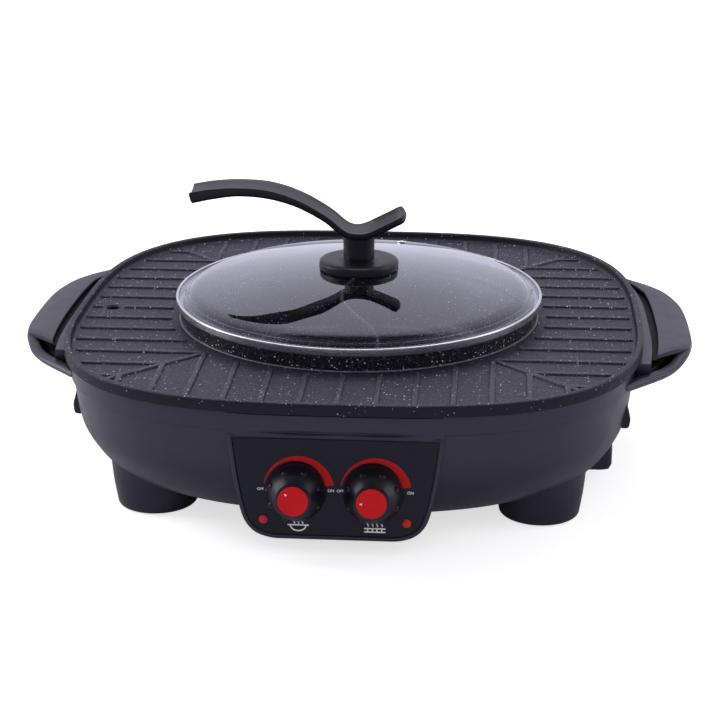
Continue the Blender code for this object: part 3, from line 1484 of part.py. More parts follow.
def add_thermostat(hand, x):
    """Add one thermostat with its bushing through the panel, and the nut that holds it."""
    wide, tall, deep = THERMOSTAT_SIZE
    back = -PANEL_RECESS - PANEL_THICKNESS - SEAT
    outline = rounded_rectangle((x - wide / 2, -tall / 2), (x + wide / 2, tall / 2), 0.004, 3)
    obj = add(f"thermostat_{hand}", prism(outline, back - deep, back), "insulator", parent=Cooker.panel)
    fuse(obj, disc(BUSHING_RADIUS, back - 0.001, BUSHING_LENGTH, 16, (x, 0.0)))
    cut(obj, disc(SPINDLE_RADIUS + SEAT, -0.0080 - SEAT, 0.01, 12, (x, 0.0)))
    low = -PANEL_RECESS + SEAT
    radius = NUT_ACROSS / 2 / cos(pi / 6)
    nut = add(f"thermostat_nut_{hand}", disc(radius, low, low + NUT_THICKNESS, 6, (x, 0.0)), "brass", parent=Cooker.panel)
    cut(nut, disc(BUSHING_RADIUS + SEAT, -0.01, 0.01, 16, (x, 0.0)))


def add_lamp(hand, x):
    """Add one indicator lamp: its lens over the panel and its body behind."""
    head = -PANEL_RECESS + SEAT
    profile = (
        (LAMP_BODY_RADIUS, -PANEL_RECESS - LAMP_BODY_LENGTH),
        (LAMP_BODY_RADIUS, head),
        (LAMP_RADIUS, head),
        (LAMP_RADIUS, head + 0.0006),
        (LAMP_RADIUS * 0.7, head + 0.0016),
    )
    lamp = revolve(profile, 12, centre=(x, -LAMP_DROP))
    add(f"indicator_lamp_{hand}", lamp, "lamp_red", parent=Cooker.panel)


def add_controls():
    """Add everything that stands on the panel."""
    add_control_box()
    add_panel()
    for hand, x in knob_places():
        add_knob(hand, x, -LEFT_KNOB_TURN if hand == "left" else 0.0)
        add_thermostat(hand, x)
        add_lamp(hand, lamp_x(x))


# Drain


def drain_path():
    """Return the middle line of the drain tube, from the plate's hole to the floor's hole."""
    top = PLATE_UNDERSIDE - SEAT
    points = (
        (DRAIN_X, 0.0, top),
        (DRAIN_X, 0.0, BELLY_BOTTOM + 0.0490),
        (DRAIN_X + 0.003, 0.0, BELLY_BOTTOM + 0.0350),
        (DRAIN_X + 0.016, 0.0, BELLY_BOTTOM + 0.0190),
        (DRAIN_END_X - 0.016, 0.0, BELLY_BOTTOM + 0.0125),
        (DRAIN_END_X - 0.002, 0.0, BELLY_BOTTOM + 0.0080),
        (DRAIN_END_X, 0.0, BELLY_BOTTOM + 0.0005),
    )
    return smooth(points, 2)


def add_drain():
    """Add the drain tube and the box that it empties into."""
    pipe = tube(drain_path(), DRAIN_TUBE_RADIUS - SEAT, 8, bore=DRAIN_TUBE_RADIUS - DRAIN_TUBE_WALL)
    add("drain_tube", pipe, "heater_sheath")
    low = DRIP_TOP - DRIP_DEPTH
    half, wall = DRIP_HALF_WIDTH, DRIP_WALL
    (x0, x1), round_edge = DRIP_X, 0.004
    body = prism(rounded_rectangle((x0, -half), (x1, half), round_edge), low, DRIP_TOP)
    box = add("drip_box", body, "body_plastic")
    flange = half + DRIP_FLANGE
    fuse(box, prism(rounded_rectangle((x0, -flange), (x1, flange), round_edge), DRIP_TOP - wall, DRIP_TOP))
    hollow = rounded_rectangle((x0 + wall, -half + wall), (x1 - wall, half - wall), round_edge - wall)
    cut(box, prism(hollow, low + wall, DRIP_TOP + 0.01))


# Inlet and wiring


def add_inlet():
    """Add the inlet lobe, the socket in it and the socket's pins."""
    (x0, x1), (y0, y1), (z0, z1) = INLET_X, INLET_Y, INLET_Z
    rings = []
    for z, draw in ((z0, 0.0050), (z0 + 0.002, 0.0016), (z0 + 0.006, 0.0), (z1 - 0.010, 0.0), (z1, 0.0010)):
        outline = rounded_rectangle((x0 + draw, y0 + draw), (x1 - draw, y1), 0.004)
        rings.append([Vector((x, y, z)) for x, y in outline])
    lobe = add("inlet_housing", loft(rings), "body_plastic")
    mouth = SOCKET_BOTTOM
    (s0, s1), tall, deep = SOCKET_X, SOCKET_HEIGHT, SOCKET_DEPTH
    cut(lobe, block((s0, y1 - deep, mouth), (s1, y1 + 0.01, mouth + tall)))
    cut(lobe, housing_form())
    inset = SEAT
    shell = block((s0 + inset, y1 - deep + inset, mouth + inset), (s1 - inset, y1 - 0.001, mouth + tall - inset))
    socket = add("inlet_socket", shell, "insulator")
    lip = 0.0012
    cut(socket, block((s0 + lip, y1 - deep + 0.004, mouth + lip), (s1 - lip, y1 + 0.01, mouth + tall - lip)))
    cut(socket, housing_form())
    middle = (s0 + s1) / 2
    height = mouth + tall / 2
    for name, offset in (("live", -PIN_PITCH), ("earth", 0.0), ("neutral", PIN_PITCH)):
        start = y1 - deep + 0.0015
        place = Matrix.Translation((middle + offset, start, height)) @ Matrix.Rotation(-pi / 2, 4, "X")
        cut(socket, turned(disc(PIN_RADIUS + SEAT, -SEAT, 0.01, 8), place))
        pin = turned(revolve(((PIN_RADIUS, 0.0), (PIN_RADIUS, PIN_LENGTH - PIN_RADIUS), (PIN_RADIUS / 2, PIN_LENGTH)), 8), place)
        add(f"inlet_pin_{name}", pin, "brass")


def add_wiring():
    """Add the terminal block and the leads from it."""
    x, y = BLOCK_PLACE
    wide, deep, tall = BLOCK_SIZE
    low = BELLY_FLOOR + SEAT
    body = block((x - wide / 2, y - deep / 2, low), (x + wide / 2, y + deep / 2, low + tall))
    terminal = add("terminal_block", body, "insulator")
    for i in (-1, 0, 1):
        cut(terminal, disc(0.0022, low + tall - 0.003, low + tall + 0.01, 8, (x + i * 0.009, y)))
    lead_z = low + tall / 2
    supply_y = (INLET_Y[0] + INLET_Y[1]) / 2
    side = x + wide / 2 + SEAT
    supply = [(side + ahead, y, lead_z) for ahead in (0.0, 0.003, 0.006)]
    supply += [(x_in, supply_y, LEAD_Z) for x_in in (INLET_X[0] - 0.006, INLET_X[0] + 0.002, INLET_X[1] - 0.007)]
    routes = {"supply_lead": supply}
    back = PANEL_Y + THERMOSTAT_SIZE[2] + PANEL_RECESS + PANEL_THICKNESS + 2 * SEAT
    front = y - deep / 2 - SEAT
    for hand, knob_x in knob_places():
        shift = -0.008 if hand == "left" else 0.008
        height = PANEL_Z - 0.004
        routes[f"thermostat_lead_{hand}"] = [
            *((x + shift, front - ahead, lead_z) for ahead in (0.0, 0.004, 0.010)),
            (x - 0.028 + shift * 0.4, PANEL_Y + 0.112, BELLY_FLOOR + 0.011),
            (x - 0.050 + shift * 0.5, PANEL_Y + 0.064, BELLY_FLOOR + 0.014),
            (max(knob_x, 0.0) * 0.9 + 0.024 + shift, PANEL_Y + 0.034, BELLY_FLOOR + 0.020),
            (knob_x + 0.006, back + 0.0100, height - 0.002),
            (knob_x, back + 0.0016, height),
        ]
    for name, route in routes.items():
        add(name, tube(smooth(route, 2), LEAD_RADIUS), "lead_sheath")


def build():
    """Build the whole cooker."""
    clear_scene()
    Cooker.axis = add_empty("pot_axis", (0.0, AXIS_Y, 0.0))
    place = (0.0, PANEL_Y, PANEL_Z)
    Cooker.panel = add_empty("panel_plane", place, (pi / 2 - PANEL_TILT, 0.0, 0.0), Cooker.axis)
    add_housing()
    add_feet()
    add_bottom_cover()
    add_pan()
    add_grill_element()
    add_pot_element()
    add_element_stand()
    add_thermal_fuse()
    add_plate()
    add_pot()
    add_lid_glass()
    add_vent()
    add_lid_ring()
    add_grip_base()
    add_grip()
    add_lid_screw()
    add_handles()
    add_controls()
    add_drain()
    add_inlet()
    add_wiring()


build()
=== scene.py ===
"""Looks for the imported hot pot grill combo: finer shapes, finishes, light and the photograph's camera.

Lengths are in metres, +Z is up and -Y is the front. Shapes are drawn about the pot's axis, or in the
panel's own frame, and are then set in the model's frame.
"""

import logging
from collections.abc import Iterable, Iterator, Sequence
from dataclasses import dataclass, field
from enum import Enum
from math import cos, hypot, pi, radians, sin, tau
from typing import ClassVar

import bmesh
import bpy
from mathutils import Matrix, Vector


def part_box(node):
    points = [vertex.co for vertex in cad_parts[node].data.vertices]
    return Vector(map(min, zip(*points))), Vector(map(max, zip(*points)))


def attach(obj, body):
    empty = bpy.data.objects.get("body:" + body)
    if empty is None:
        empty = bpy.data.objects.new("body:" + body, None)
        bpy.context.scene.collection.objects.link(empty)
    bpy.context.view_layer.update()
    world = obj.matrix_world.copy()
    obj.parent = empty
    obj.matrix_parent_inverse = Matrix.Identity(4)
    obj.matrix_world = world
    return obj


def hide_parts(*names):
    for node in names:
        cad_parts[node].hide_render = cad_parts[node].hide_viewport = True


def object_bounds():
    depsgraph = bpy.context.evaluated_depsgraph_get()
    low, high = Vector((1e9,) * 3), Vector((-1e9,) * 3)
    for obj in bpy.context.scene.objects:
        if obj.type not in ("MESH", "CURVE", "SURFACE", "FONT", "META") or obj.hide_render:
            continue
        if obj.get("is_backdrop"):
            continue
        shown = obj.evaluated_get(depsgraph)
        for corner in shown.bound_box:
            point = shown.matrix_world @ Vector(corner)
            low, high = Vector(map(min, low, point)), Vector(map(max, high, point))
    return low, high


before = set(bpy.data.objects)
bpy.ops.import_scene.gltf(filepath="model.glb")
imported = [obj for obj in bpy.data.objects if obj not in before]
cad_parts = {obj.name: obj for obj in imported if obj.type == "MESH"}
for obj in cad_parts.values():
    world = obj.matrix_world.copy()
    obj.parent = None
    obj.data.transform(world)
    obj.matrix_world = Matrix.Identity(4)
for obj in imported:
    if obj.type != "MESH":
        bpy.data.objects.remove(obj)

LOG = logging.getLogger("hot_pot_grill")
CAD_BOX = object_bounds()

# Where the panel stands: its face before the pot's axis, the knobs' height and how far it leans back
PANEL_FRONT = 0.2300
KNOB_HEIGHT = 0.0580
PANEL_LEAN = radians(4.0)

# Angle from which an edge of a coated piece is drawn sharp, in degrees
COATED_EDGE = 40.0

# How far the knobs stand to each side of the panel's middle
KNOB_X = 0.0280

Colour = tuple[float, float, float]
Mesh = bmesh.types.BMesh
Ring = list[Vector]
Socket = bpy.types.NodeSocket


class Hand(Enum):
    """The side of the cooker that a piece stands on."""

    LEFT = "left"
    RIGHT = "right"

    @property
    def side(self) -> int:
        """Return the sign of X on this side."""
        return -1 if self is Hand.LEFT else 1


class Row(Enum):
    """Whether a piece stands at the front or at the rear."""

    FRONT = "front"
    REAR = "rear"

    @property
    def side(self) -> int:
        """Return the sign of Y in this row."""
        return -1 if self is Row.FRONT else 1


class Body(Enum):
    """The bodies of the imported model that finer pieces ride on."""

    BASE = "base"
    PLATE = "plate"
    POT = "pot"
    LID = "lid"
    LEFT_KNOB = "left_knob"
    RIGHT_KNOB = "right_knob"


# Finishes


class NodeSheet:
    """Adds and joins the shader nodes of one material."""

    def __init__(self, name: str) -> None:
        """Start a material with nothing but its Principled shader and output.

        Args:
            name: The material's name.
        """
        self.material = bpy.data.materials.new(name)
        self.material.use_nodes = True
        self.tree = self.material.node_tree
        self.shader = self.tree.nodes["Principled BSDF"]
        self.output = self.tree.nodes["Material Output"]
        self.place = self.add("ShaderNodeTexCoord").outputs["Object"]

    def add(self, kind: str, **settings: object) -> bpy.types.Node:
        """Add one node.

        Args:
            kind: Blender's name for the node.
            settings: Properties to set on it.

        Returns:
            The new node.
        """
        node = self.tree.nodes.new(kind)
        for key, value in settings.items():
            setattr(node, key, value)
        return node

    def join(self, source: Socket, target: Socket) -> None:
        """Link an output to an input."""
        self.tree.links.new(source, target)

    def stretch(self, scale: tuple[float, float, float]) -> Socket:
        """Return the object's coordinates, scaled along each axis.

        Args:
            scale: Factor along each axis.

        Returns:
            The scaled coordinates.
        """
        mapping = self.add("ShaderNodeMapping")
        mapping.inputs["Scale"].default_value = scale
        self.join(self.place, mapping.inputs["Vector"])
        return mapping.outputs["Vector"]

    def noise(self, scale: float, detail: float = 3.0, vector: Socket | None = None) -> Socket:
        """Add a noise texture.

        Args:
            scale: Size of the pattern, in features to the metre.
            detail: How many finer layers it has.
            vector: The coordinates that it is laid out on, the object's own by default.

        Returns:
            The noise, about one half.
        """
        node = self.add("ShaderNodeTexNoise")
        node.inputs["Scale"].default_value = scale
        node.inputs["Detail"].default_value = detail
        self.join(vector or self.place, node.inputs["Vector"])
        return node.outputs["Fac"]

    def ramp(self, factor: Socket, stops: Sequence[tuple[float, Colour]]) -> Socket:
        """Turn a factor into a colour.

        Args:
            factor: The factor, from 0 to 1.
            stops: Position and colour of each stop.

        Returns:
            The colour.
        """
        node = self.add("ShaderNodeValToRGB")
        elements = node.color_ramp.elements
        while len(elements) < len(stops):
            elements.new(0.5)
        for element, (position, colour) in zip(elements, stops):
            element.position = position
            element.color = (*colour, 1.0)
        self.join(factor, node.inputs["Fac"])
        return node.outputs["Color"]

    def levels(
        self, factor: Socket, low: float, high: float, start: float = 0.0, end: float = 1.0
    ) -> Socket:
        """Map a factor between start and end to a value between low and high.

        Args:
            factor: The factor.
            low: Value up to the start.
            high: Value from the end on.
            start: Factor at which it starts to change.
            end: Factor at which it has changed.

        Returns:
            The value.
        """
        node = self.add("ShaderNodeMapRange")
        node.inputs["From Min"].default_value = start
        node.inputs["From Max"].default_value = end
        node.inputs["To Min"].default_value = low
        node.inputs["To Max"].default_value = high
        self.join(factor, node.inputs["Value"])
        return node.outputs["Result"]

    def sums(self, operation: str, first: Socket, second: Socket | float) -> Socket:
        """Work out one sum of two values.

        Args:
            operation: Blender's name for the sum.
            first: The first value.
            second: The second value.

        Returns:
            The result.
        """
        node = self.add("ShaderNodeMath", operation=operation)
        self.join(first, node.inputs[0])
        if isinstance(second, float):
            node.inputs[1].default_value = second
        else:
            self.join(second, node.inputs[1])
        return node.outputs["Value"]

    def blend(self, factor: Socket, first: Socket | Colour, second: Socket | Colour) -> Socket:
        """Mix two colours, by a factor that is 0 for the first and 1 for the second.

        Args:
            factor: The factor.
            first: The first colour.
            second: The second colour.

        Returns:
            The mixed colour.
        """
        node = self.add("ShaderNodeMix", data_type="RGBA")
        self.join(factor, node.inputs["Factor"])
        for key, colour in ((6, first), (7, second)):
            if isinstance(colour, tuple):
                node.inputs[key].default_value = (*colour, 1.0)
            else:
                self.join(colour, node.inputs[key])
        return node.outputs[2]

    def bump(self, height: Socket, strength: float, distance: float) -> None:
        """Roughen the shader's surface by a height.

        Args:
            height: The height.
            strength: Share of it that shows.
            distance: Height in metres at a factor of 1.
        """
        node = self.add("ShaderNodeBump")
        node.inputs["Strength"].default_value = strength
        node.inputs["Distance"].default_value = distance
        self.join(height, node.inputs["Height"])
        self.join(node.outputs["Normal"], self.shader.inputs["Normal"])

    def sets(self, **values: float | Colour) -> None:
        """Set constants on the shader's own sockets; a name's underscores stand for spaces."""
        for key, value in values.items():
            socket = self.shader.inputs[key.replace("_", " ")]
            socket.default_value = (*value, 1.0) if isinstance(value, tuple) else value


@dataclass(frozen=True)
class Finish:
    """A finish that pieces are dressed in. Each is made into a material once."""

    name: str
    colour: Colour
    roughness: float = 0.4

    made: ClassVar[dict[str, bpy.types.Material]] = {}

    def material(self) -> bpy.types.Material:
        """Return the finish as a material."""
        if self.name not in Finish.made:
            sheet = NodeSheet(self.name)
            self.wire(sheet)
            Finish.made[self.name] = sheet.material
        return Finish.made[self.name]

    def wire(self, sheet: NodeSheet) -> None:
        """Join up the finish's nodes.

        Args:
            sheet: The sheet of the material.
        """
        self.mottle(sheet, 40.0, 0.12)
        self.grain(sheet, self.roughness, 0.05, 900.0)

    def mottle(self, sheet: NodeSheet, scale: float, spread: float) -> None:
        """Vary the colour a little over the surface.

        Args:
            sheet: The sheet of the material.
            scale: Size of the patches, in features to the metre.
            spread: Largest share by which the colour departs.
        """
        low = tuple(c * (1 - spread) for c in self.colour)
        high = tuple(c * (1 + spread) for c in self.colour)
        colour = sheet.ramp(sheet.noise(scale), ((0.3, low), (0.7, high)))
        sheet.join(colour, sheet.shader.inputs["Base Color"])

    def grain(self, sheet: NodeSheet, roughness: float, spread: float, scale: float) -> None:
        """Vary the roughness a little over the surface."""
        rough = sheet.levels(sheet.noise(scale), roughness - spread, roughness + spread, 0.3, 0.7)
        sheet.join(rough, sheet.shader.inputs["Roughness"])


@dataclass(frozen=True)
class MouldedPlastic(Finish):
    """Moulded plastic with a spark-eroded grain."""

    grain_scale: float = 1600.0
    grain_depth: float = 0.00004
    specular: float = 0.5
    # tint colours the reflections lavender: painted sheen standing for the lavender cast of the studio light.
    tint: Colour = (0.86, 0.83, 1.0)

    def wire(self, sheet: NodeSheet) -> None:
        """Join up the grain, the faint flow marks and the gloss.

        Args:
            sheet: The sheet of the material.
        """
        self.mottle(sheet, 26.0, 0.10)
        self.grain(sheet, self.roughness, 0.04, 60.0)
        sheet.bump(sheet.noise(self.grain_scale, 2.0), 0.35, self.grain_depth)
        # The specular tint paints the studio light's lavender cast into the reflections.
        sheet.sets(Specular_IOR_Level=self.specular, Specular_Tint=self.tint)


@dataclass(frozen=True)
class StoneCoating(Finish):
    """Dark non-stick coating with pale flecks sprayed into it."""

    fleck: Colour = (0.66, 0.65, 0.72)
    fleck_scale: float = 460.0
    fleck_share: float = 0.130
    specular: float = 0.32
    # tint colours the reflections lavender: painted sheen standing for the lavender cast of the studio light.
    tint: Colour = (0.86, 0.83, 1.0)
    # Painted side shade: faces that lean away from up get a darker ground and less gloss, standing for the
    # shade on the plate's skirt and rim sides.
    painted_side_shade: bool = False
    side_shade_share: float = 0.50
    side_shade_specular: float = 0.22

    def flecks(self, sheet: NodeSheet, scale: float, share: float) -> Socket:
        """Return a mask of scattered round flecks.

        Args:
            sheet: The sheet of the material.
            scale: Flecks to the metre, before most are left out.
            share: Share of the places that hold a fleck.

        Returns:
            The mask, 1 on a fleck.
        """
        cells = sheet.add("ShaderNodeTexVoronoi")
        cells.inputs["Scale"].default_value = scale
        sheet.join(sheet.place, cells.inputs["Vector"])
        split = sheet.add("ShaderNodeSeparateColor")
        sheet.join(cells.outputs["Color"], split.inputs["Color"])
        held = sheet.sums("LESS_THAN", split.outputs["Red"], share)
        reach = sheet.levels(split.outputs["Green"], 0.10, 0.30)
        inside = sheet.sums("LESS_THAN", cells.outputs["Distance"], reach)
        return sheet.sums("MULTIPLY", held, inside)

    def wire(self, sheet: NodeSheet) -> None:
        """Join up the mottled ground, two sizes of fleck, the pebbled skin and, if asked, painted shade on
        the sides.

        Args:
            sheet: The sheet of the material.
        """
        low = tuple(c * 0.72 for c in self.colour)
        high = tuple(c * 1.35 for c in self.colour)
        ground = sheet.ramp(sheet.noise(420.0, 4.0), ((0.35, low), (0.68, high)))
        coarse = self.flecks(sheet, self.fleck_scale, self.fleck_share)
        fine = self.flecks(sheet, self.fleck_scale * 2.3, self.fleck_share * 1.6)
        dim = tuple(c * 0.45 for c in self.fleck)
        flecked = sheet.blend(fine, ground, dim)
        colour = sheet.blend(coarse, flecked, self.fleck)
        # The specular tint paints the studio light's lavender cast into the reflections.
        sheet.sets(Specular_IOR_Level=self.specular, Specular_Tint=self.tint)
        # Painted shade: where the face leans away from up, the ground is darkened and the specular lowered.
        if self.painted_side_shade:
            split = sheet.add("ShaderNodeSeparateXYZ")
            sheet.join(sheet.add("ShaderNodeTexCoord").outputs["Normal"], split.inputs["Vector"])
            level = sheet.levels(split.outputs["Z"], 0.0, 1.0, 0.30, 0.75)
            side = sheet.blend(coarse, tuple(c * self.side_shade_share for c in self.colour), dim)
            colour = sheet.blend(level, side, colour)
            gloss = sheet.levels(level, self.side_shade_specular, self.specular)
            sheet.join(gloss, sheet.shader.inputs["Specular IOR Level"])
        sheet.join(colour, sheet.shader.inputs["Base Color"])
        self.grain(sheet, self.roughness, 0.07, 300.0)
        height = sheet.sums("ADD", sheet.noise(900.0, 3.0), coarse)
        sheet.bump(height, 0.45, 0.00008)


@dataclass(frozen=True)
class TurnedMetal(Finish):
    """Metal with fine marks that run round the piece."""

    marks: tuple[float, float, float] = (60.0, 60.0, 4000.0)
    tint: Colour = (1.0, 1.0, 1.0)

    def wire(self, sheet: NodeSheet) -> None:
        """Join up the drawn marks and the faint stains.

        Args:
            sheet: The sheet of the material.
        """
        drawn = sheet.noise(1.0, 2.0, sheet.stretch(self.marks))
        low = tuple(c * 0.86 * t for c, t in zip(self.colour, self.tint))
        colour = sheet.ramp(sheet.noise(35.0), ((0.35, low), (0.65, self.colour)))
        sheet.join(colour, sheet.shader.inputs["Base Color"])
        rough = sheet.levels(drawn, self.roughness * 0.7, self.roughness * 1.3, 0.3, 0.7)
        sheet.join(rough, sheet.shader.inputs["Roughness"])
        sheet.bump(drawn, 0.05, 0.000006)
        sheet.sets(Metallic=1.0)


@dataclass(frozen=True)
class LidGlass(Finish):
    """Tempered glass, clear to light that passes through to the pot."""

    shine: float = 2.1
    clear: Colour = (0.87, 0.87, 0.91)

    def wire(self, sheet: NodeSheet) -> None:
        """Join up the mirror of its two faces, stronger at a glancing view, over the clear glass.

        Args:
            sheet: The sheet of the material.
        """
        film = sheet.levels(sheet.noise(18.0), 0.008, 0.030, 0.35, 0.7)
        sheet.join(film, sheet.shader.inputs["Roughness"])
        tint = sheet.ramp(sheet.noise(9.0), ((0.3, tuple(c * 0.97 for c in self.colour)), (0.7, self.colour)))
        sheet.join(tint, sheet.shader.inputs["Base Color"])
        sheet.sets(Metallic=1.0)
        through = sheet.add("ShaderNodeBsdfTransparent")
        through.inputs["Color"].default_value = (*self.clear, 1.0)
        edge = sheet.add("ShaderNodeFresnel")
        edge.inputs["IOR"].default_value = 1.5
        rays = sheet.add("ShaderNodeLightPath")
        lit = sheet.sums("LESS_THAN", rays.outputs["Is Shadow Ray"], 0.5)
        outside = sheet.sums("LESS_THAN", sheet.add("ShaderNodeNewGeometry").outputs["Backfacing"], 0.5)
        share = sheet.sums("MULTIPLY", sheet.sums("MULTIPLY", edge.outputs["Fac"], self.shine), lit)
        mix = sheet.add("ShaderNodeMixShader")
        sheet.join(sheet.sums("MULTIPLY", share, outside), mix.inputs["Fac"])
        sheet.join(through.outputs["BSDF"], mix.inputs[1])
        sheet.join(sheet.shader.outputs["BSDF"], mix.inputs[2])
        sheet.join(mix.outputs["Shader"], sheet.output.inputs["Surface"])


@dataclass(frozen=True)
class PrintedInk(Finish):
    """Ink printed on the panel, slightly uneven and worn thin in places."""

    def wire(self, sheet: NodeSheet) -> None:
        """Join up the uneven ink.

        Args:
            sheet: The sheet of the material.
        """
        self.mottle(sheet, 700.0, 0.10)
        self.grain(sheet, self.roughness, 0.06, 1200.0)
        sheet.sets(Specular_IOR_Level=0.15)


@dataclass(frozen=True)
class LampLens(Finish):
    """Red moulded lens that glows a little where light gets into it."""

    def wire(self, sheet: NodeSheet) -> None:
        """Join up the lens.

        Args:
            sheet: The sheet of the material.
        """
        self.mottle(sheet, 300.0, 0.15)
        self.grain(sheet, self.roughness, 0.03, 500.0)
        sheet.sets(Transmission_Weight=0.05, Coat_Weight=0.15, Coat_Roughness=0.2, Specular_IOR_Level=0.3)


@dataclass(frozen=True)
class Braid(Finish):
    """Woven glass sleeve on the leads inside the base."""

    def wire(self, sheet: NodeSheet) -> None:
        """Join up the weave.

        Args:
            sheet: The sheet of the material.
        """
        wave = sheet.add("ShaderNodeTexWave", wave_type="BANDS", bands_direction="DIAGONAL")
        wave.inputs["Scale"].default_value = 500.0
        sheet.join(sheet.place, wave.inputs["Vector"])
        low = tuple(c * 0.6 for c in self.colour)
        colour = sheet.ramp(wave.outputs["Fac"], ((0.2, low), (0.8, self.colour)))
        sheet.join(colour, sheet.shader.inputs["Base Color"])
        self.grain(sheet, self.roughness, 0.05, 800.0)
        sheet.bump(wave.outputs["Fac"], 0.5, 0.0002)


BODY_PLASTIC = MouldedPlastic("body_plastic", (0.018, 0.016, 0.029), 0.36, specular=0.53)
GRIP_PLASTIC = MouldedPlastic("grip_plastic", (0.006, 0.006, 0.009), 0.36, grain_depth=0.00002, specular=0.42)
# The plate's coating carries painted shade on its steep sides.
PLATE_COATING = StoneCoating("stone_coating", (0.025, 0.023, 0.037), 0.54, painted_side_shade=True)
# The bars' coating: the denser flecks are the coating's own; the lighter ground and stronger specular are
# painted highlight for light catching the ribs.
BAR_HIGHLIGHT_COATING = StoneCoating("bar_highlight_coating", (0.028, 0.026, 0.040), 0.46, fleck_share=0.22, specular=0.38)
POT_COATING = StoneCoating("pot_coating", (0.012, 0.012, 0.016), 0.30, (0.95, 0.95, 1.0), 520.0, 0.27)
BEAD_COATING = StoneCoating("bead_coating", (0.16, 0.16, 0.18), 0.34, fleck_share=0.04)
LID_GLASS = LidGlass("lid_glass", (0.93, 0.93, 0.97), 0.02)
BRIGHT_STEEL = TurnedMetal("bright_steel", (0.80, 0.79, 0.81), 0.26)
SHEET_METAL = TurnedMetal("sheet_metal", (0.56, 0.57, 0.58), 0.34, marks=(900.0, 60.0, 900.0))
HEATER_SHEATH = TurnedMetal("heater_sheath", (0.20, 0.18, 0.17), 0.42, tint=(1.0, 0.9, 0.8))
BRASS = TurnedMetal("brass", (0.62, 0.44, 0.17), 0.28)
PANEL_FACE = MouldedPlastic("panel_face", (0.012, 0.012, 0.019), 0.34, 2600.0, 0.00001, 0.22)
KNOB_RED = MouldedPlastic("knob_red", (0.62, 0.013, 0.018), 0.45, 1600.0, 0.00001, 0.10, (1.0, 0.9, 0.9))
LAMP_RED = LampLens("lamp_red", (0.60, 0.014, 0.019), 0.35)
RED_INK = PrintedInk("red_ink", (0.52, 0.010, 0.011), 0.45)
WHITE_INK = PrintedInk("white_ink", (0.84, 0.84, 0.86), 0.45)
RUBBER = MouldedPlastic("rubber", (0.020, 0.020, 0.021), 0.75, grain_depth=0.00008)
INSULATOR = MouldedPlastic("insulator", (0.075, 0.073, 0.070), 0.5)
LEAD_SHEATH = Braid("lead_sheath", (0.62, 0.60, 0.55), 0.7)
# Near-black painted shade for the handles' pocket floor, webs, slot strip and tray, standing for the shadow
# inside the handle.
PAINTED_SHADE_BLACK = MouldedPlastic("painted_shade_black", (0.004, 0.004, 0.006), 0.60, specular=0.12)


# Mesh tools


def softened(
    corners: Sequence[tuple[float, float, float]], steps: int = 4, closed: bool = True
) -> list[Vector]:
    """Round the corners of an outline.

    Args:
        corners: Place of each corner, and how far back from it its rounding starts.
        steps: Steps round each corner.
        closed: Whether the last corner joins the first.

    Returns:
        The points of the rounded outline.
    """
    points: list[Vector] = []
    count = len(corners)
    for i, (x, y, radius) in enumerate(corners):
        here = Vector((x, y))
        if radius <= 0 or (not closed and i in (0, count - 1)):
            points.append(here)
            continue
        back = Vector(corners[i - 1][:2]) - here
        ahead = Vector(corners[(i + 1) % count][:2]) - here
        reach = min(radius, back.length * 0.48, ahead.length * 0.48)
        start = here + back.normalized() * reach
        end = here + ahead.normalized() * reach
        for k in range(steps + 1):
            t = k / steps
            points.append(start.lerp(here, t).lerp(here.lerp(end, t), t))
    return points


def smooth(points: Iterable[Sequence[float]], steps: int) -> list[Vector]:
    """Return a curve through the points, with this many steps between each two.

    Args:
        points: The points.
        steps: Steps between each two.

    Returns:
        The curve's points.
    """
    known = [Vector(p) for p in points]
    padded = [2 * known[0] - known[1], *known, 2 * known[-1] - known[-2]]
    curve: list[Vector] = []
    for a, b, c, d in zip(padded, padded[1:], padded[2:], padded[3:]):
        for i in range(steps):
            t = i / steps
            bend = (2 * a - 5 * b + 4 * c - d) * t * t + (3 * b - a - 3 * c + d) * t**3
            curve.append(0.5 * (2 * b + (c - a) * t + bend))
    return [*curve, known[-1]]


def eased(share: float) -> float:
    """Return a share, held between 0 and 1 and eased at both ends."""
    held = min(1.0, max(0.0, share))
    return held * held * (3 - 2 * held)


def mixed(span: tuple[float, float], share: float) -> float:
    """Return the value at a share of the way through a span, and no further than its ends."""
    return span[0] + (span[1] - span[0]) * min(1.0, max(0.0, share))


def circle(radius: float, z: float, sides: int, centre: tuple[float, float] = (0.0, 0.0)) -> Ring:
    """Return the points of a level circle.

    Args:
        radius: Its radius.
        z: Its height.
        sides: Number of points.
        centre: Plan place of its middle.

    Returns:
        The ring.
    """
    turns = [tau * i / sides for i in range(sides)]
    return [Vector((centre[0] + radius * cos(a), centre[1] + radius * sin(a), z)) for a in turns]


def squircle(half_x: float, half_y: float, power: float, z: float, sides: int) -> Ring:
    """Return the points of a rounded square, evenly spaced in angle.

    Args:
        half_x: Half its width.
        half_y: Half its depth.
        power: Squareness, 2 for an ellipse.
        z: Its height.
        sides: Number of points.

    Returns:
        The ring.
    """
    points: Ring = []
    for i in range(sides):
        x, y = cos(tau * i / sides), sin(tau * i / sides)
        reach = (abs(x / half_x) ** power + abs(y / half_y) ** power) ** (-1 / power)
        points.append(Vector((reach * x, reach * y, z)))
    return points


def squircle_x(half_x: float, half_y: float, power: float, y: float) -> float:
    """Return how far a rounded square reaches along X at the given Y."""
    return half_x * max(0.0, 1 - abs(y / half_y) ** power) ** (1 / power)


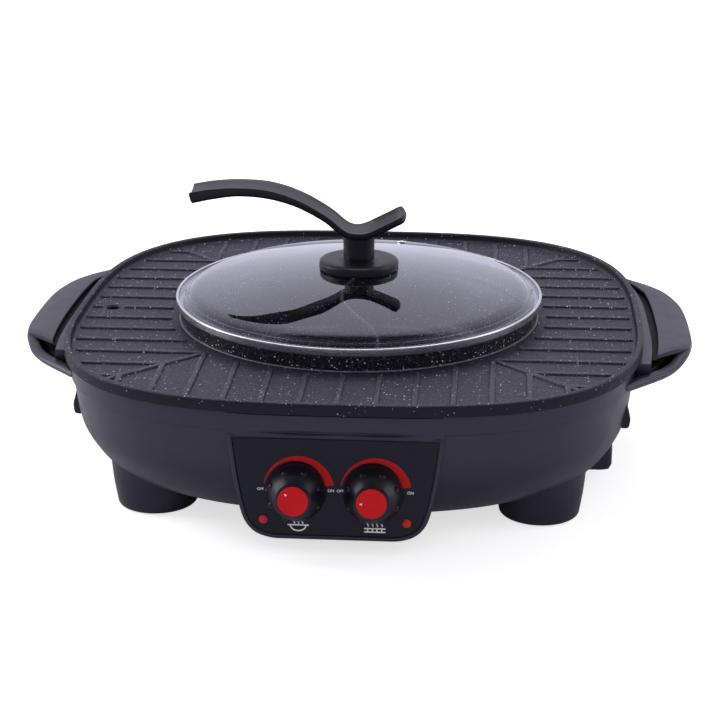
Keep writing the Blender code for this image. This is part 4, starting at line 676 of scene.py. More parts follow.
def loft(rings: Sequence[Ring], closed: bool = False) -> Mesh:
    """Join rings of equally many points into one body.

    Args:
        rings: The rings, in order.
        closed: Whether the last ring joins the first; otherwise both ends are capped.

    Returns:
        The body's mesh.
    """
    bm = bmesh.new()
    loops = [[bm.verts.new(point) for point in ring] for ring in rings]
    pairs = list(zip(loops, loops[1:]))
    if closed:
        pairs.append((loops[-1], loops[0]))
    else:
        bm.faces.new(loops[0])
        bm.faces.new(loops[-1])
    for low, high in pairs:
        for i, near in enumerate(low):
            j = (i + 1) % len(low)
            bm.faces.new((near, low[j], high[j], high[i]))
    bmesh.ops.recalc_face_normals(bm, faces=bm.faces)
    return bm


def revolve(profile: Iterable[Sequence[float]], sides: int) -> Mesh:
    """Turn a closed profile of radius and height about the vertical axis."""
    return loft([circle(r, z, sides) for r, z in profile], closed=True)


def turned_solid(
    profile: Iterable[Sequence[float]], sides: int, centre: tuple[float, float] = (0.0, 0.0)
) -> Mesh:
    """Turn an open profile of radius and height about a vertical axis, and cap its ends."""
    return loft([circle(r, z, sides, centre) for r, z in profile])


def prism(outline: Sequence[Sequence[float]], low: float, high: float) -> Mesh:
    """Raise a plan outline from one height to another."""
    return loft([[Vector((p[0], p[1], z)) for p in outline] for z in (low, high)])


def moved(bm: Mesh, matrix: Matrix) -> Mesh:
    """Return the mesh moved by a matrix.

    Args:
        bm: The mesh.
        matrix: The move.

    Returns:
        The same mesh.
    """
    bmesh.ops.transform(bm, matrix=matrix, verts=bm.verts)
    if matrix.determinant() < 0:
        bmesh.ops.reverse_faces(bm, faces=bm.faces)
    return bm


def joined(parts: Iterable[Mesh]) -> Mesh:
    """Return several meshes as one, without merging them.

    Args:
        parts: The meshes, freed afterwards.

    Returns:
        The whole mesh.
    """
    whole = bmesh.new()
    for part in parts:
        mesh = bpy.data.meshes.new("part")
        part.to_mesh(mesh)
        whole.from_mesh(mesh)
        bpy.data.meshes.remove(mesh)
        part.free()
    return whole


def mesh_object(name: str, bm: Mesh, place: Matrix) -> bpy.types.Object:
    """Make an object from a mesh and free the mesh.

    Args:
        name: Its name.
        bm: The mesh.
        place: Where its frame stands.

    Returns:
        The object.
    """
    mesh = bpy.data.meshes.new(name)
    bm.to_mesh(mesh)
    bm.free()
    obj = bpy.data.objects.new(name, mesh)
    obj.matrix_world = place
    bpy.context.scene.collection.objects.link(obj)
    return obj


def boolean(obj: bpy.types.Object, tool: Mesh, operation: str, folded: bool = False) -> None:
    """Cut or join a tool into an object, and drop the tool.

    Args:
        obj: The object that is changed.
        tool: The tool's mesh, drawn in the object's own frame.
        operation: DIFFERENCE, UNION or INTERSECT.
        folded: Whether a mesh may fold over itself.
    """
    helper = mesh_object("tool", tool, obj.matrix_world)
    bpy.context.view_layer.update()
    step = obj.modifiers.new("step", "BOOLEAN")
    step.operation = operation
    step.solver = "EXACT"
    step.use_self = folded
    step.object = helper
    graph = bpy.context.evaluated_depsgraph_get()
    cut = bpy.data.meshes.new_from_object(obj.evaluated_get(graph), depsgraph=graph)
    obj.modifiers.remove(step)
    old, spare = obj.data, helper.data
    obj.data = cut
    bpy.data.objects.remove(helper)
    for mesh in (old, spare):
        bpy.data.meshes.remove(mesh)


@dataclass
class Place:
    """Where pieces are set: on the pot's axis, or on the panel's plane."""

    axis: Matrix
    panel: Matrix

    @classmethod
    def from_frame(cls) -> "Place":
        """Return the two frames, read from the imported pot, knob and plate."""
        low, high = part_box("hot_pot")
        middle = (low.y + high.y) / 2
        axis = Matrix.Translation((0.0, middle, 0.0))
        spot = Matrix.Translation((0.0, -PANEL_FRONT, KNOB_HEIGHT))
        return cls(axis, axis @ spot @ Matrix.Rotation(pi / 2 - PANEL_LEAN, 4, "X"))


@dataclass
class Piece:
    """One visible piece: its mesh, set in place, dressed and tied to a body of the model."""

    name: str
    body: Body
    finish: Finish
    slot: str
    stands_for: tuple[str, ...] = ()
    sharp: float = 32.0

    def make(self, bm: Mesh, place: Matrix) -> bpy.types.Object:
        """Make the piece from one mesh.

        Args:
            bm: The mesh, freed afterwards.
            place: Where its frame stands.

        Returns:
            The finished object.
        """
        return self.dress(mesh_object(self.name, bm, place))

    def dress(self, obj: bpy.types.Object) -> bpy.types.Object:
        """Shade, colour and tie an object that already has its mesh.

        Args:
            obj: The object.

        Returns:
            The same object.
        """
        obj.name = self.name
        obj.data.materials.clear()
        obj.data.materials.append(self.finish.material())
        obj.data.shade_smooth()
        obj.data.set_sharp_from_angle(angle=radians(self.sharp))
        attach(obj, self.body.value)
        if self.stands_for:
            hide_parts(*self.stands_for)
        LOG.info("%s: %d faces on %s", self.name, len(obj.data.polygons), self.body.value)
        return obj


# Sub-assemblies


@dataclass
class Housing:
    """The moulded base: a rounded square tub with a band at its top and a foot at each corner."""

    place: Place
    half_x: float = 0.2270
    half_y: float = 0.2292
    top: float = 0.1168
    band_bottom: float = 0.1020
    belly_bottom: float = 0.0210
    wall: float = 0.0030
    power: float = 3.0
    sides: int = 176
    foot: tuple[float, float] = (0.1500, 0.1220)
    foot_radius: float = 0.0310
    foot_top: float = 0.0467
    foot_bottom: float = 0.0010
    well_radius: float = 0.0280
    well_bottom: float = 0.0070
    pad_radius: float = 0.0180
    pad_thickness: float = 0.0030
    seat: float = 0.0003
    access_radius: float = 0.0920
    window: tuple[float, float] = (0.0560, 0.0200)
    screws: int = 3
    screw_circle: float = 0.0960
    screw_hole: float = 0.0018
    drain_x: float = -0.1450
    drain_hole: float = 0.0065
    rail_ends: tuple[float, float] = (-0.1580, -0.1080)
    rail: tuple[tuple[float, float], ...] = (
        # distance from the box's middle, height
        (0.0305, 0.0170),
        (0.0360, 0.0170),
        (0.0360, 0.0220),
        (0.0340, 0.0220),
        (0.0340, 0.0182),
        (0.0305, 0.0182),
    )
    belly: tuple[tuple[float, float, float], ...] = (
        # share of the height, inset from the band, squareness
        (0.000, 0.0620, 2.25),
        (0.025, 0.0470, 2.35),
        (0.086, 0.0310, 2.50),
        (0.185, 0.0200, 2.65),
        (0.333, 0.0130, 2.80),
        (0.543, 0.0068, 2.95),
        (0.790, 0.0040, 3.00),
        (0.985, 0.0024, 3.00),
    )

    def sections(self, grow: float, steps: int = 4) -> list[tuple[float, float, float, float]]:
        """Return half width, half depth, squareness and height of the belly's sections.

        Args:
            grow: How far they are grown outwards.
            steps: Steps between two given sections.

        Returns:
            The sections from the bottom up.
        """
        height = self.band_bottom - self.belly_bottom
        curve = smooth(self.belly, steps)
        out = [(share, grow - inset, power) for share, inset, power in curve]
        return [
            (self.half_x + grown, self.half_y + grown, power, self.belly_bottom + share * height)
            for share, grown, power in out
        ]

    def outline(self, inset: float, z: float) -> Ring:
        """Return the band's outline, drawn in by an amount."""
        return squircle(self.half_x - inset, self.half_y - inset, self.power, z, self.sides)

    def outside(self, grow: float = 0.0) -> list[Ring]:
        """Return the outside from the bottom to the top of the band.

        Args:
            grow: How far it is grown outwards.

        Returns:
            The rings.
        """
        rings = [squircle(*section, self.sides) for section in self.sections(grow)]
        step, edge = self.belly[-1][1] - grow, self.band_bottom
        rings.append(self.outline(step, edge - 0.0006))
        rings.append(self.outline(-grow + 0.0006, edge - 0.0002))
        rings.append(self.outline(-grow, edge + 0.0006))
        rings.append(self.outline(-grow, self.top + grow))
        return rings

    def inside(self) -> list[Ring]:
        """Return the inside from the top of the band to the floor."""
        rings = [self.outline(self.wall, self.top), self.outline(self.wall, self.band_bottom + 0.002)]
        rings.append(self.outline(self.wall + self.belly[-1][1], self.band_bottom - 0.001))
        low = self.belly_bottom + self.wall
        inner = [s for s in self.sections(-self.wall, 2) if low + 0.002 < s[3] < self.band_bottom - 0.004]
        rings += [squircle(*section, self.sides) for section in reversed(inner)]
        hx, hy, power, _ = inner[0]
        rings.append(squircle(hx - 0.012, hy - 0.012, power, low, self.sides))
        return rings

    def form(self) -> Mesh:
        """Return the outside as a solid, to cut what stands against it."""
        return loft(self.outside(0.0002))

    def feet(self) -> Iterator[tuple[float, float]]:
        """Yield the centre of each foot."""
        for row in Row:
            for hand in Hand:
                yield hand.side * self.foot[0], row.side * self.foot[1]

    def foot_mesh(self, centre: tuple[float, float]) -> Mesh:
        """Return one foot, flared into the belly.

        Args:
            centre: Plan place of its axis.

        Returns:
            The foot's mesh.
        """
        radius, low = self.foot_radius, self.foot_bottom
        corners = (
            (radius - 0.0052, low, 0.0),
            (radius, low, 0.0052),
            (radius + 0.0030, low + 0.0200, 0.0060),
            (radius + 0.0050, self.foot_top, 0.0),
        )
        return turned_solid(softened(corners, 5, closed=False), 72, centre)

    @staticmethod
    def bore(radius: float, low: float, high: float, sides: int, centre: tuple[float, float]) -> Mesh:
        """Return an upright round rod, to cut a hole with."""
        return turned_solid(((radius, low), (radius, high)), sides, centre)

    def openings(self) -> Iterator[Mesh]:
        """Yield what is cut from the tub: wells, pad seats, access hole, window and small holes."""
        above = self.belly_bottom + self.wall + 0.01
        seat = self.pad_radius + self.seat
        for foot in self.feet():
            yield self.bore(self.well_radius, self.well_bottom, self.foot_top + 0.02, 40, foot)
            yield self.bore(seat, -0.003, self.pad_thickness + self.seat, 40, foot)
        yield self.bore(self.access_radius, 0.0, above, 88, (0.0, 0.0))
        half, tall = self.window
        outline = ((-half, -0.26), (half, -0.26), (half, -0.19), (-half, -0.19))
        yield prism(outline, KNOB_HEIGHT - tall, KNOB_HEIGHT + tall)
        for i in range(self.screws):
            angle = pi / 2 + tau * i / self.screws
            centre = (self.screw_circle * cos(angle), self.screw_circle * sin(angle))
            yield self.bore(self.screw_hole, 0.0, above, 12, centre)
        yield self.bore(self.drain_hole, 0.0, above - 0.004, 24, (self.drain_x, 0.0))

    def rails(self) -> Iterator[Mesh]:
        """Yield the two rails that carry the drip box."""
        for side in (-1, 1):
            yield loft([[Vector((x, side * y, z)) for y, z in self.rail] for x in self.rail_ends])

    def build(self) -> bpy.types.Object:
        """Build the housing with its feet, wells and openings."""
        obj = mesh_object("base_shell", loft(self.outside() + self.inside()), self.place.axis)
        boolean(obj, joined(self.foot_mesh(centre) for centre in self.feet()), "UNION")
        boolean(obj, joined(self.openings()), "DIFFERENCE")
        boolean(obj, joined(self.rails()), "UNION")
        piece = Piece("base_shell", Body.BASE, BODY_PLASTIC, "body_plastic", ("base_housing",))
        return piece.dress(obj)


@dataclass
class GrillPlate:
    """The coated grill plate: a raised rim, bars round the pot's opening and a drain hole."""

    place: Place
    half_x: float = 0.2304
    half_y: float = 0.2326
    power: float = 3.0
    rim_top: float = 0.1262
    rim_width: float = 0.0050
    floor_top: float = 0.1198
    underside: float = 0.1158
    skirt_bottom: float = 0.1171
    opening: float = 0.1399
    sides: int = 192
    rib_pitch: float = 0.0278
    rib_width: float = 0.0044
    rib_height: float = 0.0016
    rib_count: int = 6
    rib_ring: float = 0.1540
    plug: float = 0.0076
    drain: tuple[float, float] = (-0.2055, 0.0055)
    sink: float = 0.0014

    def rim_profile(self) -> list[Vector]:
        """Return inset and height from under the plate, round the rim, to the floor."""
        corners = (
            (self.plug + 0.0100, self.underside, 0.0),
            (self.plug, self.underside, 0.0006),
            (self.plug, self.skirt_bottom, 0.0003),
            (0.0, self.skirt_bottom, 0.0010),
            (0.0, self.rim_top, 0.0018),
            (self.rim_width - 0.0004, self.rim_top, 0.0016),
            (self.rim_width + 0.0008, self.floor_top, 0.0026),
            (self.rim_width + 0.0110, self.floor_top, 0.0),
        )
        return softened(corners, 5, closed=False)

    def slab(self) -> Mesh:
        """Return the plate without its bars."""
        rings = [circle(self.opening, self.underside, self.sides)]
        for inset, z in self.rim_profile():
            rings.append(squircle(self.half_x - inset, self.half_y - inset, self.power, z, self.sides))
        rings.append(circle(self.opening + 0.0008, self.floor_top, self.sides))
        rings.append(circle(self.opening, self.floor_top - 0.0008, self.sides))
        return loft(rings, closed=True)

    def bar(self, start: tuple[float, float], end: tuple[float, float]) -> Mesh:
        """Return one bar of the grill pattern, round along its top and at its ends.

        Args:
            start: Plan point of one end.
            end: Plan point of the other.

        Returns:
            The bar's mesh.
        """
        half, high, sunk = self.rib_width / 2, self.rib_height, -0.0008
        crown = ((-half, high, 0.0011), (half, high, 0.0011))
        corners = ((-half - 0.0004, sunk, 0.0), *crown, (half + 0.0004, sunk, 0.0))
        section = softened(corners, 3, closed=False)
        first, last = Vector(start), Vector(end)
        along = (last - first).normalized()
        across = Vector((-along.y, along.x))
        rings: list[Ring] = []
        stops = ((first, 0.0, 0.30), (first, 0.0012, 0.80), (first, 0.0026, 1.0))
        stops += ((last, -0.0026, 1.0), (last, -0.0012, 0.80), (last, 0.0, 0.30))
        for point, ahead, share in stops:
            ring: Ring = []
            for side, lift in section:
                plan = point + along * ahead + across * side * share
                ring.append(Vector((plan.x, plan.y, self.floor_top + lift * (share if lift > 0 else 1.0))))
            rings.append(ring)
        return loft(rings)

    def bars(self) -> Iterator[Mesh]:
        """Yield the bars that face each side of the pot, and the diagonal bar in each corner."""
        edge = self.rim_width + 0.0030
        half_x, half_y = self.half_x - edge, self.half_y - edge
        for k in range(-self.rib_count, self.rib_count + 1):
            offset = k * self.rib_pitch
            start = max(max(0.0, self.rib_ring**2 - offset**2) ** 0.5, abs(offset))
            for side in (-1, 1):
                end = squircle_x(half_x, half_y, self.power, offset)
                if k == 0 and side < 0:
                    gap = self.drain[1] + 0.003
                    yield self.bar((-start, 0.0), (self.drain[0] + gap, 0.0))
                    yield self.bar((self.drain[0] - gap, 0.0), (-end, 0.0))
                else:
                    yield self.bar((side * start, offset), (side * end, offset))
                end = squircle_x(half_y, half_x, self.power, offset)
                yield self.bar((offset, side * start), (offset, side * end))
        inner = (self.rib_ring + 0.006) / 2**0.5
        outer = 2 ** (-1 / self.power) * half_x
        for sx in (-1, 1):
            for sy in (-1, 1):
                yield self.bar((sx * inner, sy * inner), (sx * outer, sy * outer))

    def build(self) -> bpy.types.Object:
        """Build the plate, cut its drain and lay its bars."""
        obj = mesh_object("grill_slab", self.slab(), self.place.axis)
        x, radius = self.drain
        wide, top = radius + self.sink, self.floor_top
        sink = ((radius, 0.10), (radius, top - 0.0012), (wide, top + 0.0002), (wide, 0.14))
        boolean(obj, turned_solid(sink, 40, (x, 0.0)), "DIFFERENCE")
        # The bars wear the lighter coating, painted highlight along the ribs.
        bars = Piece("grill_bars", Body.PLATE, BAR_HIGHLIGHT_COATING, "stone_coating", (), COATED_EDGE)
        bars.make(joined(self.bars()), self.place.axis)
        slab = Piece("grill_slab", Body.PLATE, PLATE_COATING, "stone_coating", ("grill_plate",), COATED_EDGE)
        return slab.dress(obj)


@dataclass
class HotPot:
    """The round pot with a straight collar, and the S-shaped wall that parts it."""

    place: Place
    bore: float = 0.1425
    wall: float = 0.0030
    shoulder_radius: float = 0.1465
    neck_radius: float = 0.1387
    rim_top: float = 0.1326
    shoulder: float = 0.1201
    bottom: float = 0.0655
    bottom_radius: float = 0.1200
    plate_underside: float = 0.1158
    divider_top: float = 0.1170
    divider_swing: float = 0.0200
    divider_thickness: float = 0.0040
    sides: int = 144

    def profile(self) -> list[Vector]:
        """Return the pot's section, outside and inside."""
        collar, under = self.shoulder_radius, self.plate_underside
        corners = (
            (0.0300, self.bottom, 0.0),
            (self.bottom_radius, self.bottom, 0.0060),
            (self.bottom_radius + 0.0080, self.bottom + 0.0110, 0.0060),
            (self.neck_radius, under - 0.0040, 0.0040),
            (self.neck_radius, self.shoulder, 0.0004),
            (collar, self.shoulder, 0.0004),
            (collar + 0.0008, self.rim_top, 0.0014),
            (self.bore, self.rim_top, 0.0012),
            (self.bore - 0.0004, self.shoulder + 0.0030, 0.0030),
            (self.neck_radius - self.wall, under - 0.0030, 0.0040),
            (self.bottom_radius + 0.0080 - self.wall, self.bottom + 0.0120, 0.0060),
            (self.bottom_radius - self.wall, self.bottom + self.wall, 0.0060),
            (0.0300, self.bottom + self.wall, 0.0),
        )
        points = softened(corners, 6, closed=False)
        return [Vector((0.0002, self.bottom)), *points, Vector((0.0002, self.bottom + self.wall))]

    def inner_radius(self, z: float) -> float:
        """Return the radius of the pot's inside at a height.

        Args:
            z: The height.

        Returns:
            The radius.
        """
        low = (self.bottom_radius + 0.0080 - self.wall, self.bottom + 0.0120)
        high = (self.neck_radius - self.wall, self.plate_underside - 0.0030)
        if z < low[1]:
            share = (z - self.bottom - self.wall) / (low[1] - self.bottom - self.wall)
            return low[0] - 0.0080 * (1 - share) ** 2
        share = min(1.0, (z - low[1]) / (high[1] - low[1]))
        return low[0] + (high[0] - low[0]) * share

    def divider(self) -> Mesh:
        """Return the S-shaped wall, following the pot's inside and rounded along its top."""
        half = self.divider_thickness / 2
        top, low = self.divider_top, self.bottom + self.wall - 0.0006
        levels = [low, low + 0.004, low + 0.012, low + 0.030, top - 0.006, top - half]
        section = [(1.0, z) for z in levels]
        section += [(cos(a), top - half + half * sin(a)) for a in (pi / 8, pi / 4, 3 * pi / 8)]
        section.append((0.0, top))
        section += [(-share, z) for share, z in reversed(section[:-1])]
        rings: list[Ring] = []
        count = 64
        for i in range(count + 1):
            along = 2 * i / count - 1
            ring: Ring = []
            for share, z in section:
                reach = self.inner_radius(z) + 0.0012
                y = along * reach
                x = -self.divider_swing * sin(pi * along)
                slope = -self.divider_swing * pi / reach * cos(pi * along)
                normal = Vector((1.0, -slope)).normalized() * half
                ring.append(Vector((x + share * normal.x, y + share * normal.y, z)))
            rings.append(ring)
        return loft(rings)

    def build(self) -> bpy.types.Object:
        """Build the pot with its wall, and the pale bead at the foot of its collar."""
        body = joined((revolve(self.profile(), self.sides), self.divider()))
        pot = Piece("pot_shell", Body.POT, POT_COATING, "pot_coating", ("hot_pot",), COATED_EDGE)
        r, z = self.shoulder_radius, self.shoulder
        corners = (
            (r - 0.0010, z, 0.0),
            (r + 0.0012, z, 0.0004),
            (r + 0.0012, z + 0.0009, 0.0006),
            (r - 0.0004, z + 0.0010, 0.0),
        )
        shell = pot.make(body, self.place.axis)
        bead = revolve(softened(corners, 3), self.sides)
        Piece("pot_bead", Body.POT, BEAD_COATING, "pot_coating").make(bead, self.place.axis)
        return shell


@dataclass
class Lid:
    """The glass dome, its steel ring and vent, and the bird-shaped grip on its round foot."""

    place: Place
    ring_radius: float = 0.1500
    ring_inner: float = 0.1478
    channel_inner: float = 0.1442
    ring_bottom: float = 0.1329
    ring_top: float = 0.1393
    sheet: float = 0.0008
    glass: float = 0.0036
    dome_rise: float = 0.0200
    dome: tuple[tuple[float, float], ...] = (
        # radius, height above the ring's top
        (0.1460, -0.0016),
        (0.1446, -0.0009),
        (0.1436, -0.0009),
        (0.1424, 0.0000),
        (0.1412, 0.0014),
        (0.1402, 0.0017),
        (0.1384, 0.0036),
        (0.1350, 0.0054),
        (0.1300, 0.0069),
        (0.1150, 0.0097),
        (0.1000, 0.0121),
        (0.0750, 0.0155),
        (0.0500, 0.0180),
        (0.0250, 0.0195),
        (0.0030, 0.0200),
    )
    vent: tuple[float, float] = (0.0293, 0.1138)
    base_radius: float = 0.0324
    base_height: float = 0.0073
    neck_radius: float = 0.0127
    grip_width: float = 0.0285
    sides: int = 160

    grip_line: tuple[tuple[float, float, float], ...] = (
        # x, height above the foot, thickness
        (0.0378, 0.0386, 0.0052),
        (0.0330, 0.0360, 0.0058),
        (0.0200, 0.0292, 0.0058),
        (0.0070, 0.0230, 0.0058),
        (-0.0040, 0.0217, 0.0058),
        (-0.0130, 0.0252, 0.0056),
        (-0.0260, 0.0358, 0.0054),
        (-0.0480, 0.0479, 0.0062),
        (-0.0720, 0.0552, 0.0073),
        (-0.0970, 0.0570, 0.0074),
        (-0.1180, 0.0549, 0.0088),
        (-0.1330, 0.0520, 0.0094),
        (-0.1362, 0.0513, 0.0088),
    )

    @property
    def base_top(self) -> float:
        """Return the height of the grip's foot."""
        return self.ring_top + self.dome_rise + 0.0003 + self.base_height

    def dome_points(self, steps: int = 5) -> list[Vector]:
        """Return radius and height of the glass's outside, from its brim to its middle."""
        return smooth([(r, self.ring_top + rise) for r, rise in self.dome], steps)

    def dome_height(self, radius: float) -> float:
        """Return the height of the glass's outside at a radius.

        Args:
            radius: Distance from the axis.

        Returns:
            The height.
        """
        points = self.dome_points()
        for outer, inner in zip(points, points[1:]):
            if inner.x <= radius <= outer.x:
                return inner.y + (outer.y - inner.y) * (radius - inner.x) / (outer.x - inner.x)
        return points[0].y

    def glass_mesh(self) -> Mesh:
        """Return the glass with its flat brim inside the ring."""
        brim, low = self.ring_radius - 0.0024, self.ring_bottom + 0.0011
        outer = [Vector((brim, self.ring_top - 0.0019)), *self.dome_points()]
        dome = [(r, rise) for r, rise in self.dome if r < 0.1390]
        inner = smooth([(r - 0.0012, self.ring_top + rise - self.glass) for r, rise in dome], 5)
        closing = [Vector((inner[0].x, low)), Vector((brim, low))]
        return revolve([*outer, *reversed(inner), *closing], self.sides)

    def ring_mesh(self) -> Mesh:
        """Return the ring rolled round the edge of the glass."""
        low, high, out, inner = self.ring_bottom, self.ring_top, self.ring_radius, self.ring_inner
        brim = high - 0.0022
        corners = (
            (self.channel_inner, low, 0.0003),
            (out, low, 0.0016),
            (out, high, 0.0009),
            (inner, high, 0.0005),
            (inner, brim, 0.0002),
            (out - self.sheet, brim, 0.0003),
            (out - self.sheet, low + self.sheet, 0.0010),
            (self.channel_inner, low + self.sheet, 0.0003),
        )
        return revolve(softened(corners, 6), self.sides)

    def vent_place(self) -> Matrix:
        """Return the place of the vent on the glass, square to the surface there."""
        x, y = self.vent
        radius = hypot(x, y)
        slope = (self.dome_height(radius - 0.004) - self.dome_height(radius + 0.004)) / 0.008
        outward = Vector((x, y, radius / slope)).normalized()
        tilt = outward.to_track_quat("Z", "Y").to_matrix().to_4x4()
        return Matrix.Translation((x, y, self.dome_height(radius))) @ tilt

    def vent_mesh(self) -> Mesh:
        """Return the riveted eyelet."""
        under, out = -self.glass - 0.0007, 0.0045
        corners = (
            (0.0015, under - 0.0008, 0.0003),
            (out - 0.0008, under - 0.0008, 0.0003),
            (out - 0.0008, under, 0.0002),
            (0.0025, under, 0.0),
            (0.0025, 0.0003, 0.0),
            (out, 0.0003, 0.0002),
            (out, 0.0013, 0.0009),
            (0.0022, 0.0014, 0.0008),
            (0.0015, 0.0006, 0.0003),
        )
        return moved(revolve(softened(corners, 4), 48), self.vent_place())

    def foot_mesh(self) -> Mesh:
        """Return the round foot of the grip."""
        high, out = self.base_top, self.base_radius
        low = high - self.base_height
        skirt = self.dome_height(out) + 0.0005
        corners = (
            (0.0030, low, 0.0),
            (out * 0.60, low, 0.0010),
            (out * 0.92, skirt, 0.0004),
            (out, skirt, 0.0009),
            (out, high - 0.0012, 0.0024),
            (out - 0.0040, high, 0.0026),
            (self.neck_radius + 0.0040, high, 0.0020),
            (self.neck_radius + 0.0004, high + 0.0006, 0.0006),
            (0.0030, high + 0.0006, 0.0),
        )
        return revolve(softened(corners, 6), 96)

    def grip_section(self, thickness: float, dish: float, width: float) -> list[Vector]:
        """Return the section across the grip: two raised lips, a dished back and a soft belly.

        Args:
            thickness: Height of the lips' sides.
            dish: Depth of the back below the lips.
            width: Share of the full width.

        Returns:
            Sideways place and height of the section's points.
        """
        half, top = self.grip_width / 2 * width, thickness / 2
        corners = (
            (-half + 0.0006 * width, -top, 0.0020),
            (-half, top, 0.0012),
            (-half + 0.0020 * width, top, 0.0008),
            (-half + 0.0038 * width, top - dish, 0.0012),
            (half - 0.0050 * width, top - dish * 0.45, 0.0040),
            (half - 0.0012 * width, top + 0.0004, 0.0010),
            (half, top, 0.0008),
            (half - 0.0006 * width, -top, 0.0020),
        )
        return softened(corners, 4)

    @staticmethod
    def dish(x: float) -> float:
        """Return how deep the grip's back is dished at a place along it: a gutter left, an oval right."""
        gutter = 0.0014 * eased((-x - 0.0120) / 0.0300)
        oval = 0.0034 * eased((x - 0.0080) / 0.0060) * eased((0.0345 - x) / 0.0050)
        return 0.0004 + gutter + oval

    def grip_mesh(self) -> Mesh:
        """Return the bird-shaped bar, lofted along its line, with round ends."""
        line = smooth([(x, self.base_top + rise, thickness) for x, rise, thickness in self.grip_line], 6)
        rings: list[Ring] = []
        for i, (x, z, thickness) in enumerate(line):
            before, after = line[max(i - 1, 0)], line[min(i + 1, len(line) - 1)]
            along = Vector((after[0] - before[0], 0.0, after[1] - before[1])).normalized()
            up = Vector((-along.z, 0.0, along.x))
            if up.z < 0:
                up = -up
            end = min(i, len(line) - 1 - i)
            soft = (0.72, 0.90, 0.97)[end] if end < 3 else 1.0
            wide = (0.34, 0.60, 0.76, 0.87, 0.94, 0.98)[i] if i < 6 else 0.90 + 0.10 * soft
            section = self.grip_section(thickness * soft, self.dish(x), wide)
            roll = mixed((0.03, 0.11), eased((x + 0.004) / 0.016))
            rings.append([Vector((x, v, z)) + up * (w + roll * v) for v, w in section])
        return loft(rings)

    def neck_mesh(self) -> Mesh:
        """Return the neck, flared where it meets the bar."""
        low, r = self.base_top - 0.0006, self.neck_radius
        corners = (
            (r, low, 0.0),
            (r, low + 0.0130, 0.0060),
            (r + 0.0006, low + 0.0240, 0.0),
        )
        return turned_solid(softened(corners, 6, closed=False), 64)

    def lid_piece(self, name: str, node: str, finish: Finish, mesh: Mesh) -> bpy.types.Object:
        """Make one piece of the lid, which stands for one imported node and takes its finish's slot."""
        return Piece(name, Body.LID, finish, finish.name, (node,)).make(mesh, self.place.axis)

    def build(self) -> bpy.types.Object:
        """Build the glass, the ring, the vent, the foot and the grip, and return the glass."""
        glass = self.lid_piece("lid_dome", "lid_glass", LID_GLASS, self.glass_mesh())
        self.lid_piece("lid_ring", "lid_rim_ring", BRIGHT_STEEL, self.ring_mesh())
        self.lid_piece("vent_eyelet", "steam_vent_eyelet", BRIGHT_STEEL, self.vent_mesh())
        self.lid_piece("grip_foot", "lid_knob_base", GRIP_PLASTIC, self.foot_mesh())
        self.lid_piece("grip_bar", "lid_handle", GRIP_PLASTIC, joined((self.grip_mesh(), self.neck_mesh())))
        return glass


